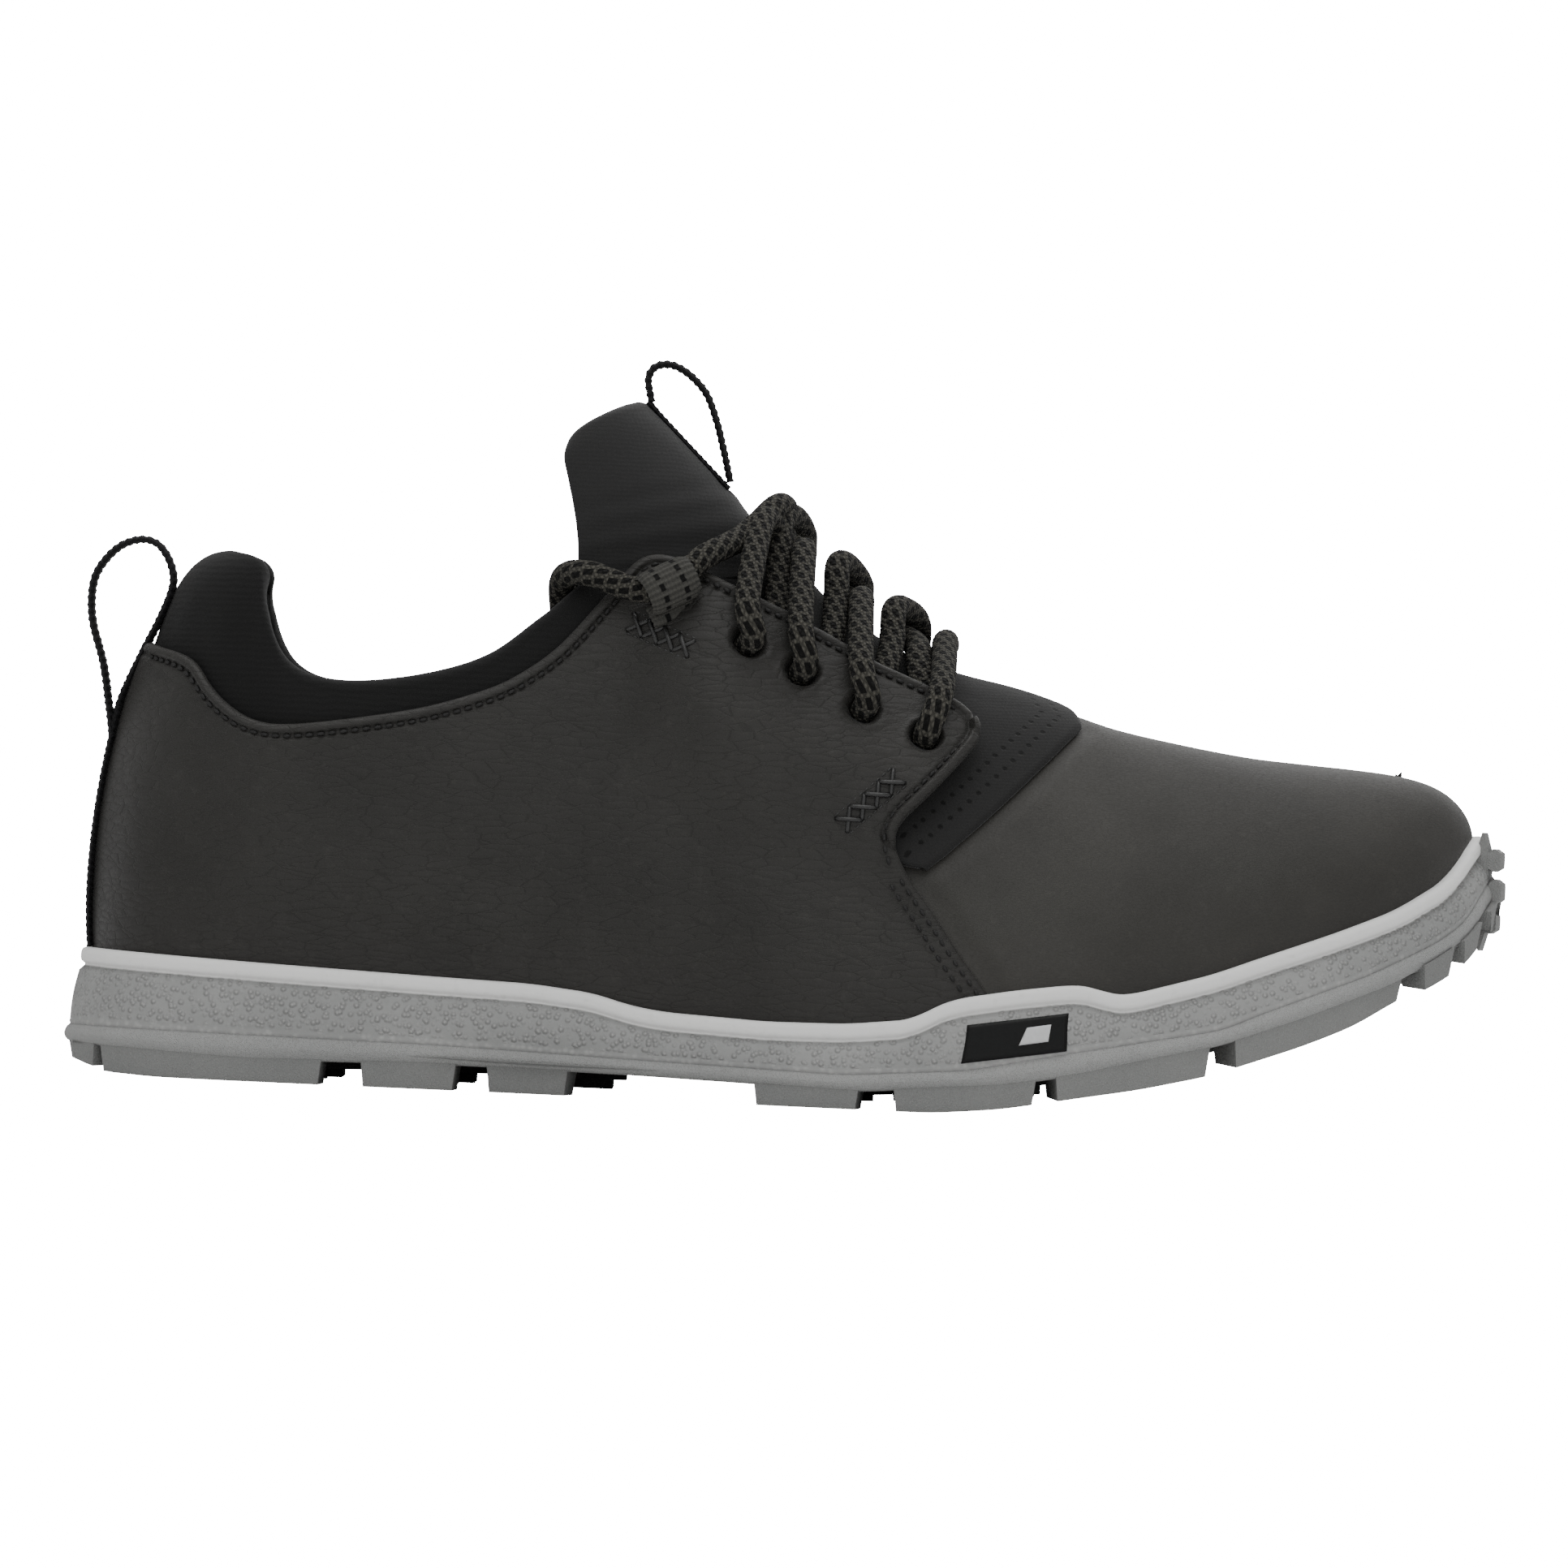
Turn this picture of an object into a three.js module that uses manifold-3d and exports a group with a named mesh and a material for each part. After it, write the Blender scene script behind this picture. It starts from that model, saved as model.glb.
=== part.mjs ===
// Golf shoe, right foot. Millimetres, +X to the toe, +Y to the inner (medial) side, +Z up.
// Heights are from the floor and lengths from the rearmost point of the sole until the last lines.
import * as THREE from 'three';
import { mergeVertices } from 'three/addons/utils/BufferGeometryUtils.js';
import Module from 'manifold-3d';

const wasm = await Module();
wasm.setup();

// ---------------------------------------------------------------- driving dimensions
const GAP = 0.3; // between pieces that touch
const KNIT = 1.5; // bootie wall
const BACKING = 1.2; // counter, puff and saddle backings
const LEATHER = 1.6; // quarters
const VAMP_LEATHER = 1.4;
const PANEL = 1.6; // neoprene of the instep panel
const EYESTAY_LIFT = 7.4; // room for the lace under the eyestay
const LACE_D = 5.0;
const LACE_HOLE_D = 7.4;
const WEBBING = 1.2; // thickness of tape and loops
const TAPE_W = 11; // width of the pull loops
const FOOTBED = 4; // foam of the insole
const ROWS = 7; // facets from the sole to the rim
const SIDES = [-1, 1]; // lateral, medial

// Layers of the upper, as distances outside the bootie's face.
const BACK_IN = GAP;
const BACK_OUT = BACK_IN + BACKING;
const SKIN_IN = BACK_OUT + GAP;
const SKIN_OUT = SKIN_IN + LEATHER;
const VAMP_OUT = SKIN_IN + VAMP_LEATHER;

// Plan outline of the bead, from the heel to the tip of the toe: x and y of each side.
const PLAN_LATERAL = [
  [0.5, 0], [2.5, -12], [9.5, -23.5], [21, -31.5], [37, -36.4], [56, -38.2], [76, -38.8], [97, -40.2],
  [117, -43.6], [136, -48], [153, -51.8], [169, -54.2], [184, -55], [199, -54.6], [214, -52.6],
  [229, -49.6], [244, -45.6], [258, -40.4], [271, -34], [283, -25.6], [292.5, -15.6], [299.4, -4], [302.3, 9.5],
];
const PLAN_MEDIAL = [
  [0.5, 0], [2.5, 12], [9.5, 23.2], [21, 31], [37, 35], [56, 36], [76, 35.5], [97, 34.8],
  [117, 35.6], [136, 38], [153, 41.6], [169, 45.6], [184, 49.3], [199, 52], [215, 53.3],
  [231, 53], [247, 51.2], [262, 48.2], [275.5, 44], [287, 38], [295.4, 30.4], [300.6, 20.8], [302.3, 9.5],
];
const LAST = PLAN_LATERAL.length - 1;

// Ribs of the bootie, one for each plan station. The foot of a rib is on the feather line.
// lean, low: how far and how high the rib swells; hi: its upper handle; top: where it ends;
// half: half width at the top (0 on the instep ridge); mid: y of the ridge.
const RIBS = [
  { lean: 0, fwd: -6.5, low: 50, hi: [17, 0, 108], top: [30.5, 110], half: 0, mid: 0 },
  { lean: 1, fwd: -3, low: 49, hi: [20.5, 12.5, 105], top: [32.5, 109.9], half: 9.5, mid: 0 },
  { lean: 2, fwd: -2, low: 48, hi: [28.5, 22, 100], top: [37.4, 107.6], half: 17.5, mid: 0 },
  { lean: 3, fwd: -1, low: 46, hi: [37, 28, 90], top: [40, 98.6], half: 22.5, mid: 0 },
  { lean: 4, fwd: 0, low: 44, hi: [44.5, 31.5, 73], top: [45.5, 88], half: 26.5, mid: 0 },
  { lean: 4, fwd: 0, low: 42, hi: [57, 33.5, 68], top: [56, 84.6], half: 29.5, mid: 0 },
  { lean: 4, fwd: 0, low: 40, hi: [74, 34, 68], top: [72, 86.1], half: 31, mid: 0 },
  { lean: 4, fwd: 0, low: 38, hi: [92, 34, 72], top: [87, 91], half: 30.5, mid: 0 },
  { lean: 4, fwd: 0, low: 36, hi: [107, 33.5, 82], top: [98.5, 100], half: 28.5, mid: 0 },
  { lean: 4, fwd: 0, low: 34, hi: [121, 33, 92], top: [110, 109.4], half: 25.6, mid: 0 },
  { lean: 4, fwd: 0, low: 34, hi: [136, 31, 99], top: [126, 112.4], half: 20.5, mid: 0 },
  { lean: 4, fwd: 0, low: 34, hi: [149, 27, 108], top: [143.4, 115.2], half: 0, mid: 0 },
  { lean: 4, fwd: 0, low: 34, hi: [165, 26, 99], top: [158, 103.4], half: 0, mid: 0 },
  { lean: 4, fwd: 0, low: 34, hi: [180, 26, 91.5], top: [171, 95], half: 0, mid: 0 },
  { lean: 4, fwd: 1, low: 36, hi: [197, 26, 86], top: [185, 89.2], half: 0, mid: 0 },
  { lean: 4, fwd: 1, low: 38, hi: [214, 26, 82.4], top: [200, 84.6], half: 0, mid: 0.5 },
  { lean: 4, fwd: 1, low: 40, hi: [231, 25, 79], top: [215, 79.2], half: 0, mid: 1 },
  { lean: 4.5, fwd: 2, low: 44, hi: [247, 25, 76], top: [231, 76], half: 0, mid: 2 },
  { lean: 4.5, fwd: 2, low: 47, hi: [261, 24, 74], top: [246, 73.8], half: 0, mid: 3.5 },
  { lean: 4, fwd: 2, low: 51, hi: [273, 21, 73], top: [259, 72.8], half: 0, mid: 5 },
  { lean: 3, fwd: 3, low: 56, hi: [283, 16, 72], top: [269, 72.2], half: 0, mid: 6.5 },
  { lean: 1.5, fwd: 4, low: 60, hi: [289, 9, 71], top: [276, 71.6], half: 0, mid: 7.5 },
  { lean: 0, fwd: 3.2, low: 62, hi: [291.5, 0, 70], top: [280, 70.9], half: 0, mid: 8.2 },
];
const RIDGE_FROM = 11; // first station whose rib ends on the instep ridge

// Side profiles of the sole: height against length.
const FEATHER = [
  [0, 20.5], [60, 18.6], [104, 15.6], [126, 13.2], [146, 12.6], [165, 13], [180, 14.8], [195, 17.5],
  [210, 20], [225, 22.5], [245, 27.5], [262, 32.8], [277, 38.6], [288, 44.5], [296, 50.5], [302.3, 57],
];
const RIM_TOP = [
  [0, 26.4], [39, 25], [79, 23.6], [99, 23], [112, 21.6], [118.5, 19.6], [126, 18.4], [148, 17.4],
  [165, 17.7], [179, 19.2], [186, 23.3], [201, 26.2], [213, 27.8], [222, 26.2], [243, 31.2],
  [254, 35.3], [269, 40.6], [283, 46], [295, 53], [302.3, 63.5],
];
const BEAD_TOP = [
  [0, 10.3], [40, 10], [79, 9.6], [120, 8.4], [165, 7.3], [191, 9.3], [212, 13.7], [244, 19.8],
  [253, 23.8], [275, 32.4], [291, 40.4], [298, 46.2], [302.3, 56.5],
];
const BEAD_BOTTOM = [
  [0, 6.2], [40, 4.6], [80, 5.4], [120, 5], [146, 4.4], [168, 3.8], [199, 6.3], [214, 9],
  [227, 12.3], [244, 16.3], [261, 22.4], [281, 30.6], [291, 36.6], [298, 42], [302.3, 51],
];
const LUG_BOTTOM = [
  [0, 3.2], [8, 0.6], [21, 0], [184, 0], [198, 1.3], [209, 3.3], [227, 6.5], [242, 10],
  [261, 16.7], [272, 21.3], [282, 27.4], [290, 31.5], [296, 36], [302.3, 46],
];

// ---------------------------------------------------------------- small tools
function heightAt(profile, x) {
  const at = profile.findIndex((p) => p[0] >= x);
  if (at <= 0) return at === 0 ? profile[0][1] : profile[profile.length - 1][1];
  const [a, b] = [profile[at - 1], profile[at]];
  return a[1] + ((b[1] - a[1]) * (x - a[0])) / (b[0] - a[0]);
}

function blend(values, s, mirror = 1) {
  // Smooth value between the stations of a list, by the Catmull-Rom rule. Past both ends the list
  // goes on as its own mirror image: mirror is -1 for a distance from the middle line.
  const last = values.length - 1;
  const i = Math.min(Math.floor(s), last - 1);
  const u = s - i;
  const p = [-1, 0, 1, 2].map((d) => {
    if (i + d < 0) return mirror * values[1];
    return i + d > last ? mirror * values[last - 1] : values[i + d];
  });
  return 0.5 * (2 * p[1] + (p[2] - p[0]) * u + (2 * p[0] - 5 * p[1] + 4 * p[2] - p[3]) * u * u
    + (3 * p[1] - p[0] - 3 * p[2] + p[3]) * u * u * u);
}

function smooth(lo, hi, v) {
  return THREE.MathUtils.smoothstep(v, lo, hi);
}

function trimmed(geometry) {
  // One vertex at each place, and no collapsed faces.
  const bare = geometry.clone();
  bare.deleteAttribute('normal');
  bare.deleteAttribute('uv');
  const merged = mergeVertices(bare, 1e-3);
  const faces = [];
  const index = merged.index.array;
  for (let i = 0; i < index.length; i += 3) {
    const [a, b, c] = [index[i], index[i + 1], index[i + 2]];
    if (a !== b && b !== c && c !== a) faces.push(a, b, c);
  }
  merged.setIndex(faces);
  return merged;
}

function solid(geometry) {
  const g = trimmed(geometry);
  const mesh = new wasm.Mesh({
    numProp: 3,
    vertProperties: new Float32Array(g.attributes.position.array),
    triVerts: new Uint32Array(g.index.array),
  });
  return new wasm.Manifold(mesh);
}

function geometryOf(shape) {
  const mesh = shape.getMesh();
  const g = new THREE.BufferGeometry();
  g.setAttribute('position', new THREE.Float32BufferAttribute(mesh.vertProperties, 3));
  g.setIndex(new THREE.Uint32BufferAttribute(mesh.triVerts, 1));
  return g;
}

function quads(points, faces) {
  // A body from its corner points and its four-sided faces.
  const g = new THREE.BufferGeometry();
  g.setAttribute('position', new THREE.Float32BufferAttribute(points.flatMap((p) => [p.x, p.y, p.z]), 3));
  g.setIndex(faces.flatMap(([a, b, c, d]) => [a, b, c, a, c, d]));
  return g;
}

function loft(sections, capped = false) {
  // Skins closed loops of points, one after another. With flat caps where the ends are open.
  const n = sections[0].length;
  const faces = [];
  for (let k = 0; k + 1 < sections.length; k += 1) {
    for (let i = 0; i < n; i += 1) {
      const j = (i + 1) % n;
      faces.push([k * n + i, k * n + j, (k + 1) * n + j, (k + 1) * n + i]);
    }
  }
  const g = quads(sections.flat(), faces);
  if (capped) {
    const index = [...g.index.array];
    const end = (sections.length - 1) * n;
    for (let i = 1; i + 1 < n; i += 1) {
      index.push(0, i + 1, i);
      index.push(end, end + i, end + i + 1);
    }
    g.setIndex(index);
  }
  return g;
}

function facing(geometry) {
  // Turns a closed body the right way out.
  const g = trimmed(geometry);
  const p = g.attributes.position;
  const [a, b, c] = [new THREE.Vector3(), new THREE.Vector3(), new THREE.Vector3()];
  let volume = 0;
  for (let i = 0; i < g.index.count; i += 3) {
    a.fromBufferAttribute(p, g.index.getX(i));
    b.fromBufferAttribute(p, g.index.getX(i + 1));
    c.fromBufferAttribute(p, g.index.getX(i + 2));
    volume += a.dot(b.cross(c));
  }
  if (volume < 0) g.setIndex([...g.index.array].reverse());
  return g;
}

function sideShape(outline) {
  return new THREE.Shape(outline.map(([x, z]) => new THREE.Vector2(x, z)));
}

function sidePrism(outline, y0, y1) {
  // An outline drawn in side view, x and z, made solid between two values of y.
  const settings = { depth: y1 - y0, bevelEnabled: false, curveSegments: 6 };
  const g = new THREE.ExtrudeGeometry(sideShape(outline), settings);
  g.rotateX(Math.PI / 2);
  g.translate(0, y1, 0);
  return solid(g);
}

// ---------------------------------------------------------------- the bootie's surface
function planCurve(side, inset) {
  const points = side < 0 ? PLAN_LATERAL : PLAN_MEDIAL;
  const other = side < 0 ? PLAN_MEDIAL : PLAN_LATERAL;
  return points.map((p, i) => {
    const before = i > 0 ? points[i - 1] : other[1];
    const after = i < LAST ? points[i + 1] : other[LAST - 1];
    const run = new THREE.Vector2(after[0] - before[0], after[1] - before[1]).normalize();
    return [p[0] + side * run.y * inset, p[1] - side * run.x * inset, p[0]];
  });
}

const RIM_INSET = 3.6;
const FOOT_INSET = 9.7;
const edgeCache = new Map();

function edgePoint(side, s, inset) {
  // Point on the sole's plan outline, moved in by inset; w is the length along the outline's own x.
  const key = `${side}/${inset}`;
  if (!edgeCache.has(key)) {
    const own = planCurve(side, inset);
    const other = planCurve(-side, inset);
    edgeCache.set(key, [other[1], ...own, other[LAST - 1]]);
  }
  const curve = edgeCache.get(key);
  return [0, 1, 2].map((axis) => blend(curve.map((p) => p[axis]), s + 1));
}

function ribPoint(side, s, t) {
  const value = (pick) => blend(RIBS.map(pick), s);
  const across = (pick) => blend(RIBS.map(pick), s, -1);
  const [fx, fy, along] = edgePoint(side, s, FOOT_INSET);
  const mid = value((r) => r.mid);
  const half = s >= RIDGE_FROM ? 0 : across((r) => r.half);
  const foot = new THREE.Vector3(fx, fy, heightAt(FEATHER, along));
  const lowY = fy + side * across((r) => r.lean);
  const low = new THREE.Vector3(fx + value((r) => r.fwd), lowY, value((r) => r.low));
  const highY = mid + side * across((r) => r.hi[1]);
  const high = new THREE.Vector3(value((r) => r.hi[0]), highY, value((r) => r.hi[2]));
  const top = new THREE.Vector3(value((r) => r.top[0]), mid + side * half, value((r) => r.top[1]));
  return new THREE.CubicBezierCurve3(foot, low, high, top).getPoint(t);
}

// Columns run from the toe back along the medial side, round the heel and up the lateral side.
const STATIONS = [0, 0.5, 1, 1.5, 2, 2.5, 3, 3.5, 4, 5, 6, 7, 8, 9, 10, 11, 12, 13, 14, 15, 16, 17, 18, 19, 20,
  20.5, 21, 21.5, 22];
const COLUMNS = [
  ...STATIONS.slice(1).reverse().map((s) => [1, s]),
  ...STATIONS.map((s) => [-1, s]),
];

function columnOf(side, s) {
  return COLUMNS.findIndex(([a, b]) => a === side && b === s);
}

function surfaceGrid() {
  const column = ([side, s]) => Array.from({ length: ROWS + 1 }, (_, j) => ribPoint(side, s, j / ROWS));
  const points = COLUMNS.map(column);
  const faces = [];
  const w = ROWS + 1;
  for (let i = 0; i + 1 < COLUMNS.length; i += 1) {
    for (let j = 0; j < ROWS; j += 1) {
      faces.push([i * w + j, (i + 1) * w + j, (i + 1) * w + j + 1, i * w + j + 1]);
    }
  }
  const g = trimmed(quads(points.flat(), faces));
  g.computeVertexNormals();
  const known = new Map();
  const key = (p) => [p.x, p.y, p.z].map((v) => Math.round(v * 100 + 0.123)).join();
  for (let i = 0; i < g.attributes.position.count; i += 1) {
    const p = new THREE.Vector3().fromBufferAttribute(g.attributes.position, i);
    known.set(key(p), new THREE.Vector3().fromBufferAttribute(g.attributes.normal, i));
  }
  const normals = points.map((column, i) => column.map((p, j) => {
    const n = (known.get(key(p)) ?? new THREE.Vector3(0, 0, 1)).clone();
    if (j === 0) n.z = 0;
    if (j === ROWS && COLUMNS[i][1] >= RIDGE_FROM) n.y = 0;
    return n.normalize();
  }));
  points[COLUMNS.length - 1] = points[0];
  normals[COLUMNS.length - 1] = normals[0];
  const inside = normals[columnOf(-1, 7)][3].y > 0;
  if (inside) new Set(normals.flat()).forEach((n) => n.negate());
  return { points, normals };
}

const GRID = surfaceGrid();

function eyestayLift(p) {
  // The eyestay stands off the bootie along the throat; p is a point of the bootie.
  const above = (p.z - 99) * 0.93 + (p.x - 112) * 0.36;
  return EYESTAY_LIFT * smooth(-34, -6, above) * smooth(112, 138, p.x) * (1 - smooth(182, 206, p.x));
}

function layered(i, j, distance, lifted = false) {
  const p = GRID.points[i][j];
  const out = distance + (lifted ? eyestayLift(p) : 0);
  return p.clone().addScaledVector(GRID.normals[i][j], out);
}

function shell(inner, outer, options = {}) {
  // A curved sheet between two distances from the bootie's face, over some columns and rows.
  const { from = 0, to = COLUMNS.length - 1, low = 0, high = ROWS, lifted = false } = options;
  const level = (d, i, j) => (typeof d === 'function' ? d(i, j) : d);
  const points = [];
  const h = high - low + 1;
  for (let i = from; i <= to; i += 1) {
    for (let j = low; j <= high; j += 1) points.push(layered(i, j, level(inner, i, j), lifted));
    for (let j = low; j <= high; j += 1) points.push(layered(i, j, level(outer, i, j), lifted));
  }
  const at = (i, j, layer) => (i - from) * 2 * h + layer * h + (j - low);
  const faces = [];
  const closed = from === 0 && to === COLUMNS.length - 1;
  for (let i = from; i < to; i += 1) {
    for (let j = low; j < high; j += 1) {
      faces.push([at(i, j, 1), at(i + 1, j, 1), at(i + 1, j + 1, 1), at(i, j + 1, 1)]);
      faces.push([at(i, j, 0), at(i, j + 1, 0), at(i + 1, j + 1, 0), at(i + 1, j, 0)]);
    }
    faces.push([at(i, low, 0), at(i + 1, low, 0), at(i + 1, low, 1), at(i, low, 1)]);
    const onRidge = high === ROWS && COLUMNS[i][1] >= RIDGE_FROM && COLUMNS[i + 1][1] >= RIDGE_FROM;
    if (!onRidge) faces.push([at(i, high, 1), at(i + 1, high, 1), at(i + 1, high, 0), at(i, high, 0)]);
  }
  if (!closed) {
    for (let j = low; j < high; j += 1) {
      faces.push([at(from, j, 0), at(from, j, 1), at(from, j + 1, 1), at(from, j + 1, 0)]);
      faces.push([at(to, j, 1), at(to, j, 0), at(to, j + 1, 0), at(to, j + 1, 1)]);
    }
  }
  return facing(quads(points, faces));
}

function spot(side, x, z, distance, lifted = false) {
  // The point of a layer that shows at x and z in side view, with its outward direction.
  let best = null;
  for (let i = 0; i + 1 < COLUMNS.length; i += 1) {
    if (COLUMNS[i][0] !== side && COLUMNS[i + 1][0] !== side) continue;
    for (let j = 0; j < ROWS; j += 1) {
      const corners = [[i, j], [i + 1, j], [i + 1, j + 1], [i, j + 1]];
      for (const tri of [[0, 1, 2], [0, 2, 3]]) {
        const place = tri.map((c) => layered(...corners[c], distance, lifted));
        const [a, b, c] = place;
        const area = (b.x - a.x) * (c.z - a.z) - (c.x - a.x) * (b.z - a.z);
        if (Math.abs(area) < 1e-6) continue;
        const v = ((x - a.x) * (c.z - a.z) - (c.x - a.x) * (z - a.z)) / area;
        const w = ((b.x - a.x) * (z - a.z) - (x - a.x) * (b.z - a.z)) / area;
        const miss = Math.max(0, -v, -w, v + w - 1);
        if (best && best.miss <= miss) continue;
        const weights = [1 - v - w, v, w];
        const point = new THREE.Vector3();
        const normal = new THREE.Vector3();
        tri.forEach((corner, n) => {
          point.addScaledVector(place[n], weights[n]);
          normal.addScaledVector(GRID.normals[corners[corner][0]][corners[corner][1]], weights[n]);
        });
        best = { miss, point, normal: normal.normalize() };
      }
    }
  }
  return best;
}

// ---------------------------------------------------------------- the sole
const SOLE_STATIONS = Array.from({ length: 2 * LAST + 1 }, (_, i) => i / 2);

function edgeAt(side, s, inset, z) {
  const [x, y] = edgePoint(side, s, inset);
  return new THREE.Vector3(x, y, z);
}

function alongAt(side, s) {
  return edgePoint(side, s, 0)[2];
}

function columnAt(side, s, z, distance) {
  // Where a layer of the upper is at a height, on the facets between its columns.
  const near = STATIONS.filter((v) => v <= s).pop();
  const far = STATIONS.find((v) => v >= s);
  const u = far > near ? (s - near) / (far - near) : 0;
  const index = (v) => (v === 0 ? columnOf(-1, 0) : columnOf(side, v));
  const level = (j) => layered(index(near), j, distance).lerp(layered(index(far), j, distance), u);
  for (let j = 0; j < ROWS; j += 1) {
    const [a, b] = [level(j), level(j + 1)];
    if (z <= b.z) return a.lerp(b, Math.max(0, (z - a.z) / (b.z - a.z))).setZ(z);
  }
  return level(ROWS);
}

function ladder(profile) {
  // A body between the two edges of the sole: profile gives one side's points in order.
  return facing(loft(SOLE_STATIONS.map((s) => [...profile(-1, s), ...profile(1, s).reverse()])));
}

function outsolePlate() {
  return ladder((side, s) => {
    const x = alongAt(side, s);
    const top = heightAt(BEAD_TOP, x) - GAP;
    const bottom = heightAt(BEAD_BOTTOM, x);
    return [
      edgeAt(side, s, 2.2, top),
      edgeAt(side, s, 0.5, top - 0.9),
      edgeAt(side, s, 0, (top + bottom) / 2),
      edgeAt(side, s, 0.6, bottom + 0.7),
      edgeAt(side, s, 2, bottom),
    ];
  });
}

function stationAt(side, x) {
  // The plan station whose outline point has this x, on one side.
  let [lo, hi] = [0, LAST];
  for (let n = 0; n < 30; n += 1) {
    const mid = (lo + hi) / 2;
    if (alongAt(side, mid) < x) lo = mid;
    else hi = mid;
  }
  return (lo + hi) / 2;
}

function lug(side, x0, x1, inset, width, sink = 1.2) {
  // A grip block that follows the edge of the sole from x0 to x1.
  const steps = Math.max(2, Math.ceil((x1 - x0) / 9));
  const sections = [];
  for (let i = 0; i <= steps; i += 1) {
    const x = x0 + ((x1 - x0) * i) / steps;
    const s = stationAt(side, x);
    const corner = (across, profile, up) => {
      const [px, py] = edgePoint(side, s, across);
      return new THREE.Vector3(px, py, heightAt(profile, px) + up);
    };
    sections.push([
      corner(inset, BEAD_BOTTOM, sink),
      corner(inset + 1, LUG_BOTTOM, 0),
      corner(inset + width - 1.5, LUG_BOTTOM, 0),
      corner(inset + width, BEAD_BOTTOM, sink),
    ]);
  }
  return solid(facing(loft(sections, true)));
}

// Grip blocks of each edge, as lengths of the sole, with the width of each run.
const EDGE_LUGS = [
  [8.5, 56.3, 15], [64.4, 84.4, 14], [90.7, 107.7, 12], [146.4, 168.4, 13], [175.6, 205.4, 16],
  [209.4, 241.6, 16], [246.7, 282, 14],
];
const INNER_LUGS = [
  [150, 164, 15, 11], [180, 190, 18, 13], [194, 204, 18, 13], [213, 224, 18, 12], [228, 239, 17, 10],
];
const TOE_LUGS = [[286, 292.5], [294.5, 297.8]];

function outsole() {
  let body = solid(outsolePlate());
  for (const side of SIDES) {
    for (const [x0, x1, width] of EDGE_LUGS) body = body.add(lug(side, x0, x1, 1.2, width));
    for (const [x0, x1, inset, width] of INNER_LUGS) body = body.add(lug(side, x0, x1, inset, width));
    for (const [x0, x1] of TOE_LUGS) body = body.add(lug(side, x0, x1, 0.4, 7));
  }
  const heelEdge = new THREE.CylinderGeometry(9, 8.4, 3.4, 16);
  heelEdge.rotateX(Math.PI / 2);
  heelEdge.scale(0.75, 1.7, 1);
  heelEdge.translate(9.4, 0, 4.9);
  return body.add(solid(heelEdge));
}

function midsole() {
  return ladder((side, s) => {
    const x = alongAt(side, s);
    const bottom = heightAt(BEAD_TOP, x);
    const rim = heightAt(RIM_TOP, x);
    const floor = heightAt(FEATHER, x) - 1;
    const inner = (z) => columnAt(side, s, z, SKIN_OUT + 0.4);
    const foot = inner(floor + 1).setZ(floor);
    return [
      edgeAt(side, s, 2.2, bottom),
      edgeAt(side, s, RIM_INSET - 0.4, Math.max(rim - 4.2, bottom + 0.6)),
      edgeAt(side, s, RIM_INSET + 0.7, rim - 3.3),
      edgeAt(side, s, RIM_INSET - 0.1, rim - 2.9),
      edgeAt(side, s, RIM_INSET, rim - 0.7),
      edgeAt(side, s, RIM_INSET + 0.5, rim),
      inner(rim - 0.2),
      inner(floor + (rim - floor) * 0.5),
      foot,
    ];
  });
}

function insideBoard(distance, low, high, first = 0, last = LAST) {
  // A board that follows the feather line inside the upper, with its heights above that line.
  const stations = STATIONS.filter((s) => s >= first && s <= last);
  const edge = (side, s, up) => {
    const z = heightAt(FEATHER, alongAt(side, s));
    return columnAt(side, s, z, distance).setZ(z + up);
  };
  const ring = (s) => [edge(-1, s, high), edge(-1, s, low), edge(1, s, low), edge(1, s, high)];
  return facing(loft(stations.map(ring)));
}

const HEEL_INSERT = { x0: 20, x1: 119.8, half: 20.5, low: 1.2 };
const FOREFOOT_INSERT = { x0: 150, x1: 246, half: 12.5, low: 0.9 };

function treadInsert(insert, ribs) {
  // Inner tread: a thin plate under the outsole with cross ribs.
  const { x0, x1, half } = insert;
  const steps = 12;
  const plate = [];
  for (let i = 0; i <= steps; i += 1) {
    const x = x0 + ((x1 - x0) * i) / steps;
    const top = heightAt(BEAD_BOTTOM, x) - GAP;
    const w = half * Math.sqrt(Math.max(0.3, Math.sin((Math.PI * (i + 0.9)) / (steps + 1.8))));
    const ring = [[-w, top], [-w, top - 1.6], [w, top - 1.6], [w, top]];
    plate.push(ring.map(([y, z]) => new THREE.Vector3(x, y, z)));
  }
  let body = solid(facing(loft(plate, true)));
  for (const [a, b] of ribs) {
    const top = Math.min(heightAt(BEAD_BOTTOM, a), heightAt(BEAD_BOTTOM, b)) - GAP - 0.5;
    const low = Math.max(heightAt(LUG_BOTTOM, a), heightAt(LUG_BOTTOM, b)) + insert.low;
    const rib = new THREE.BoxGeometry(b - a, half * 1.3, top - low);
    rib.translate((a + b) / 2, 0, (top + low) / 2);
    body = body.add(solid(rib));
  }
  return body;
}

const HEEL_RIBS = [[24, 32], [37, 46], [51, 60], [65, 74], [79, 88], [93, 102], [108, 117]];
const FOREFOOT_RIBS = [[153, 160], [165, 172], [177, 184], [189, 196], [201, 207]];

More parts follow.
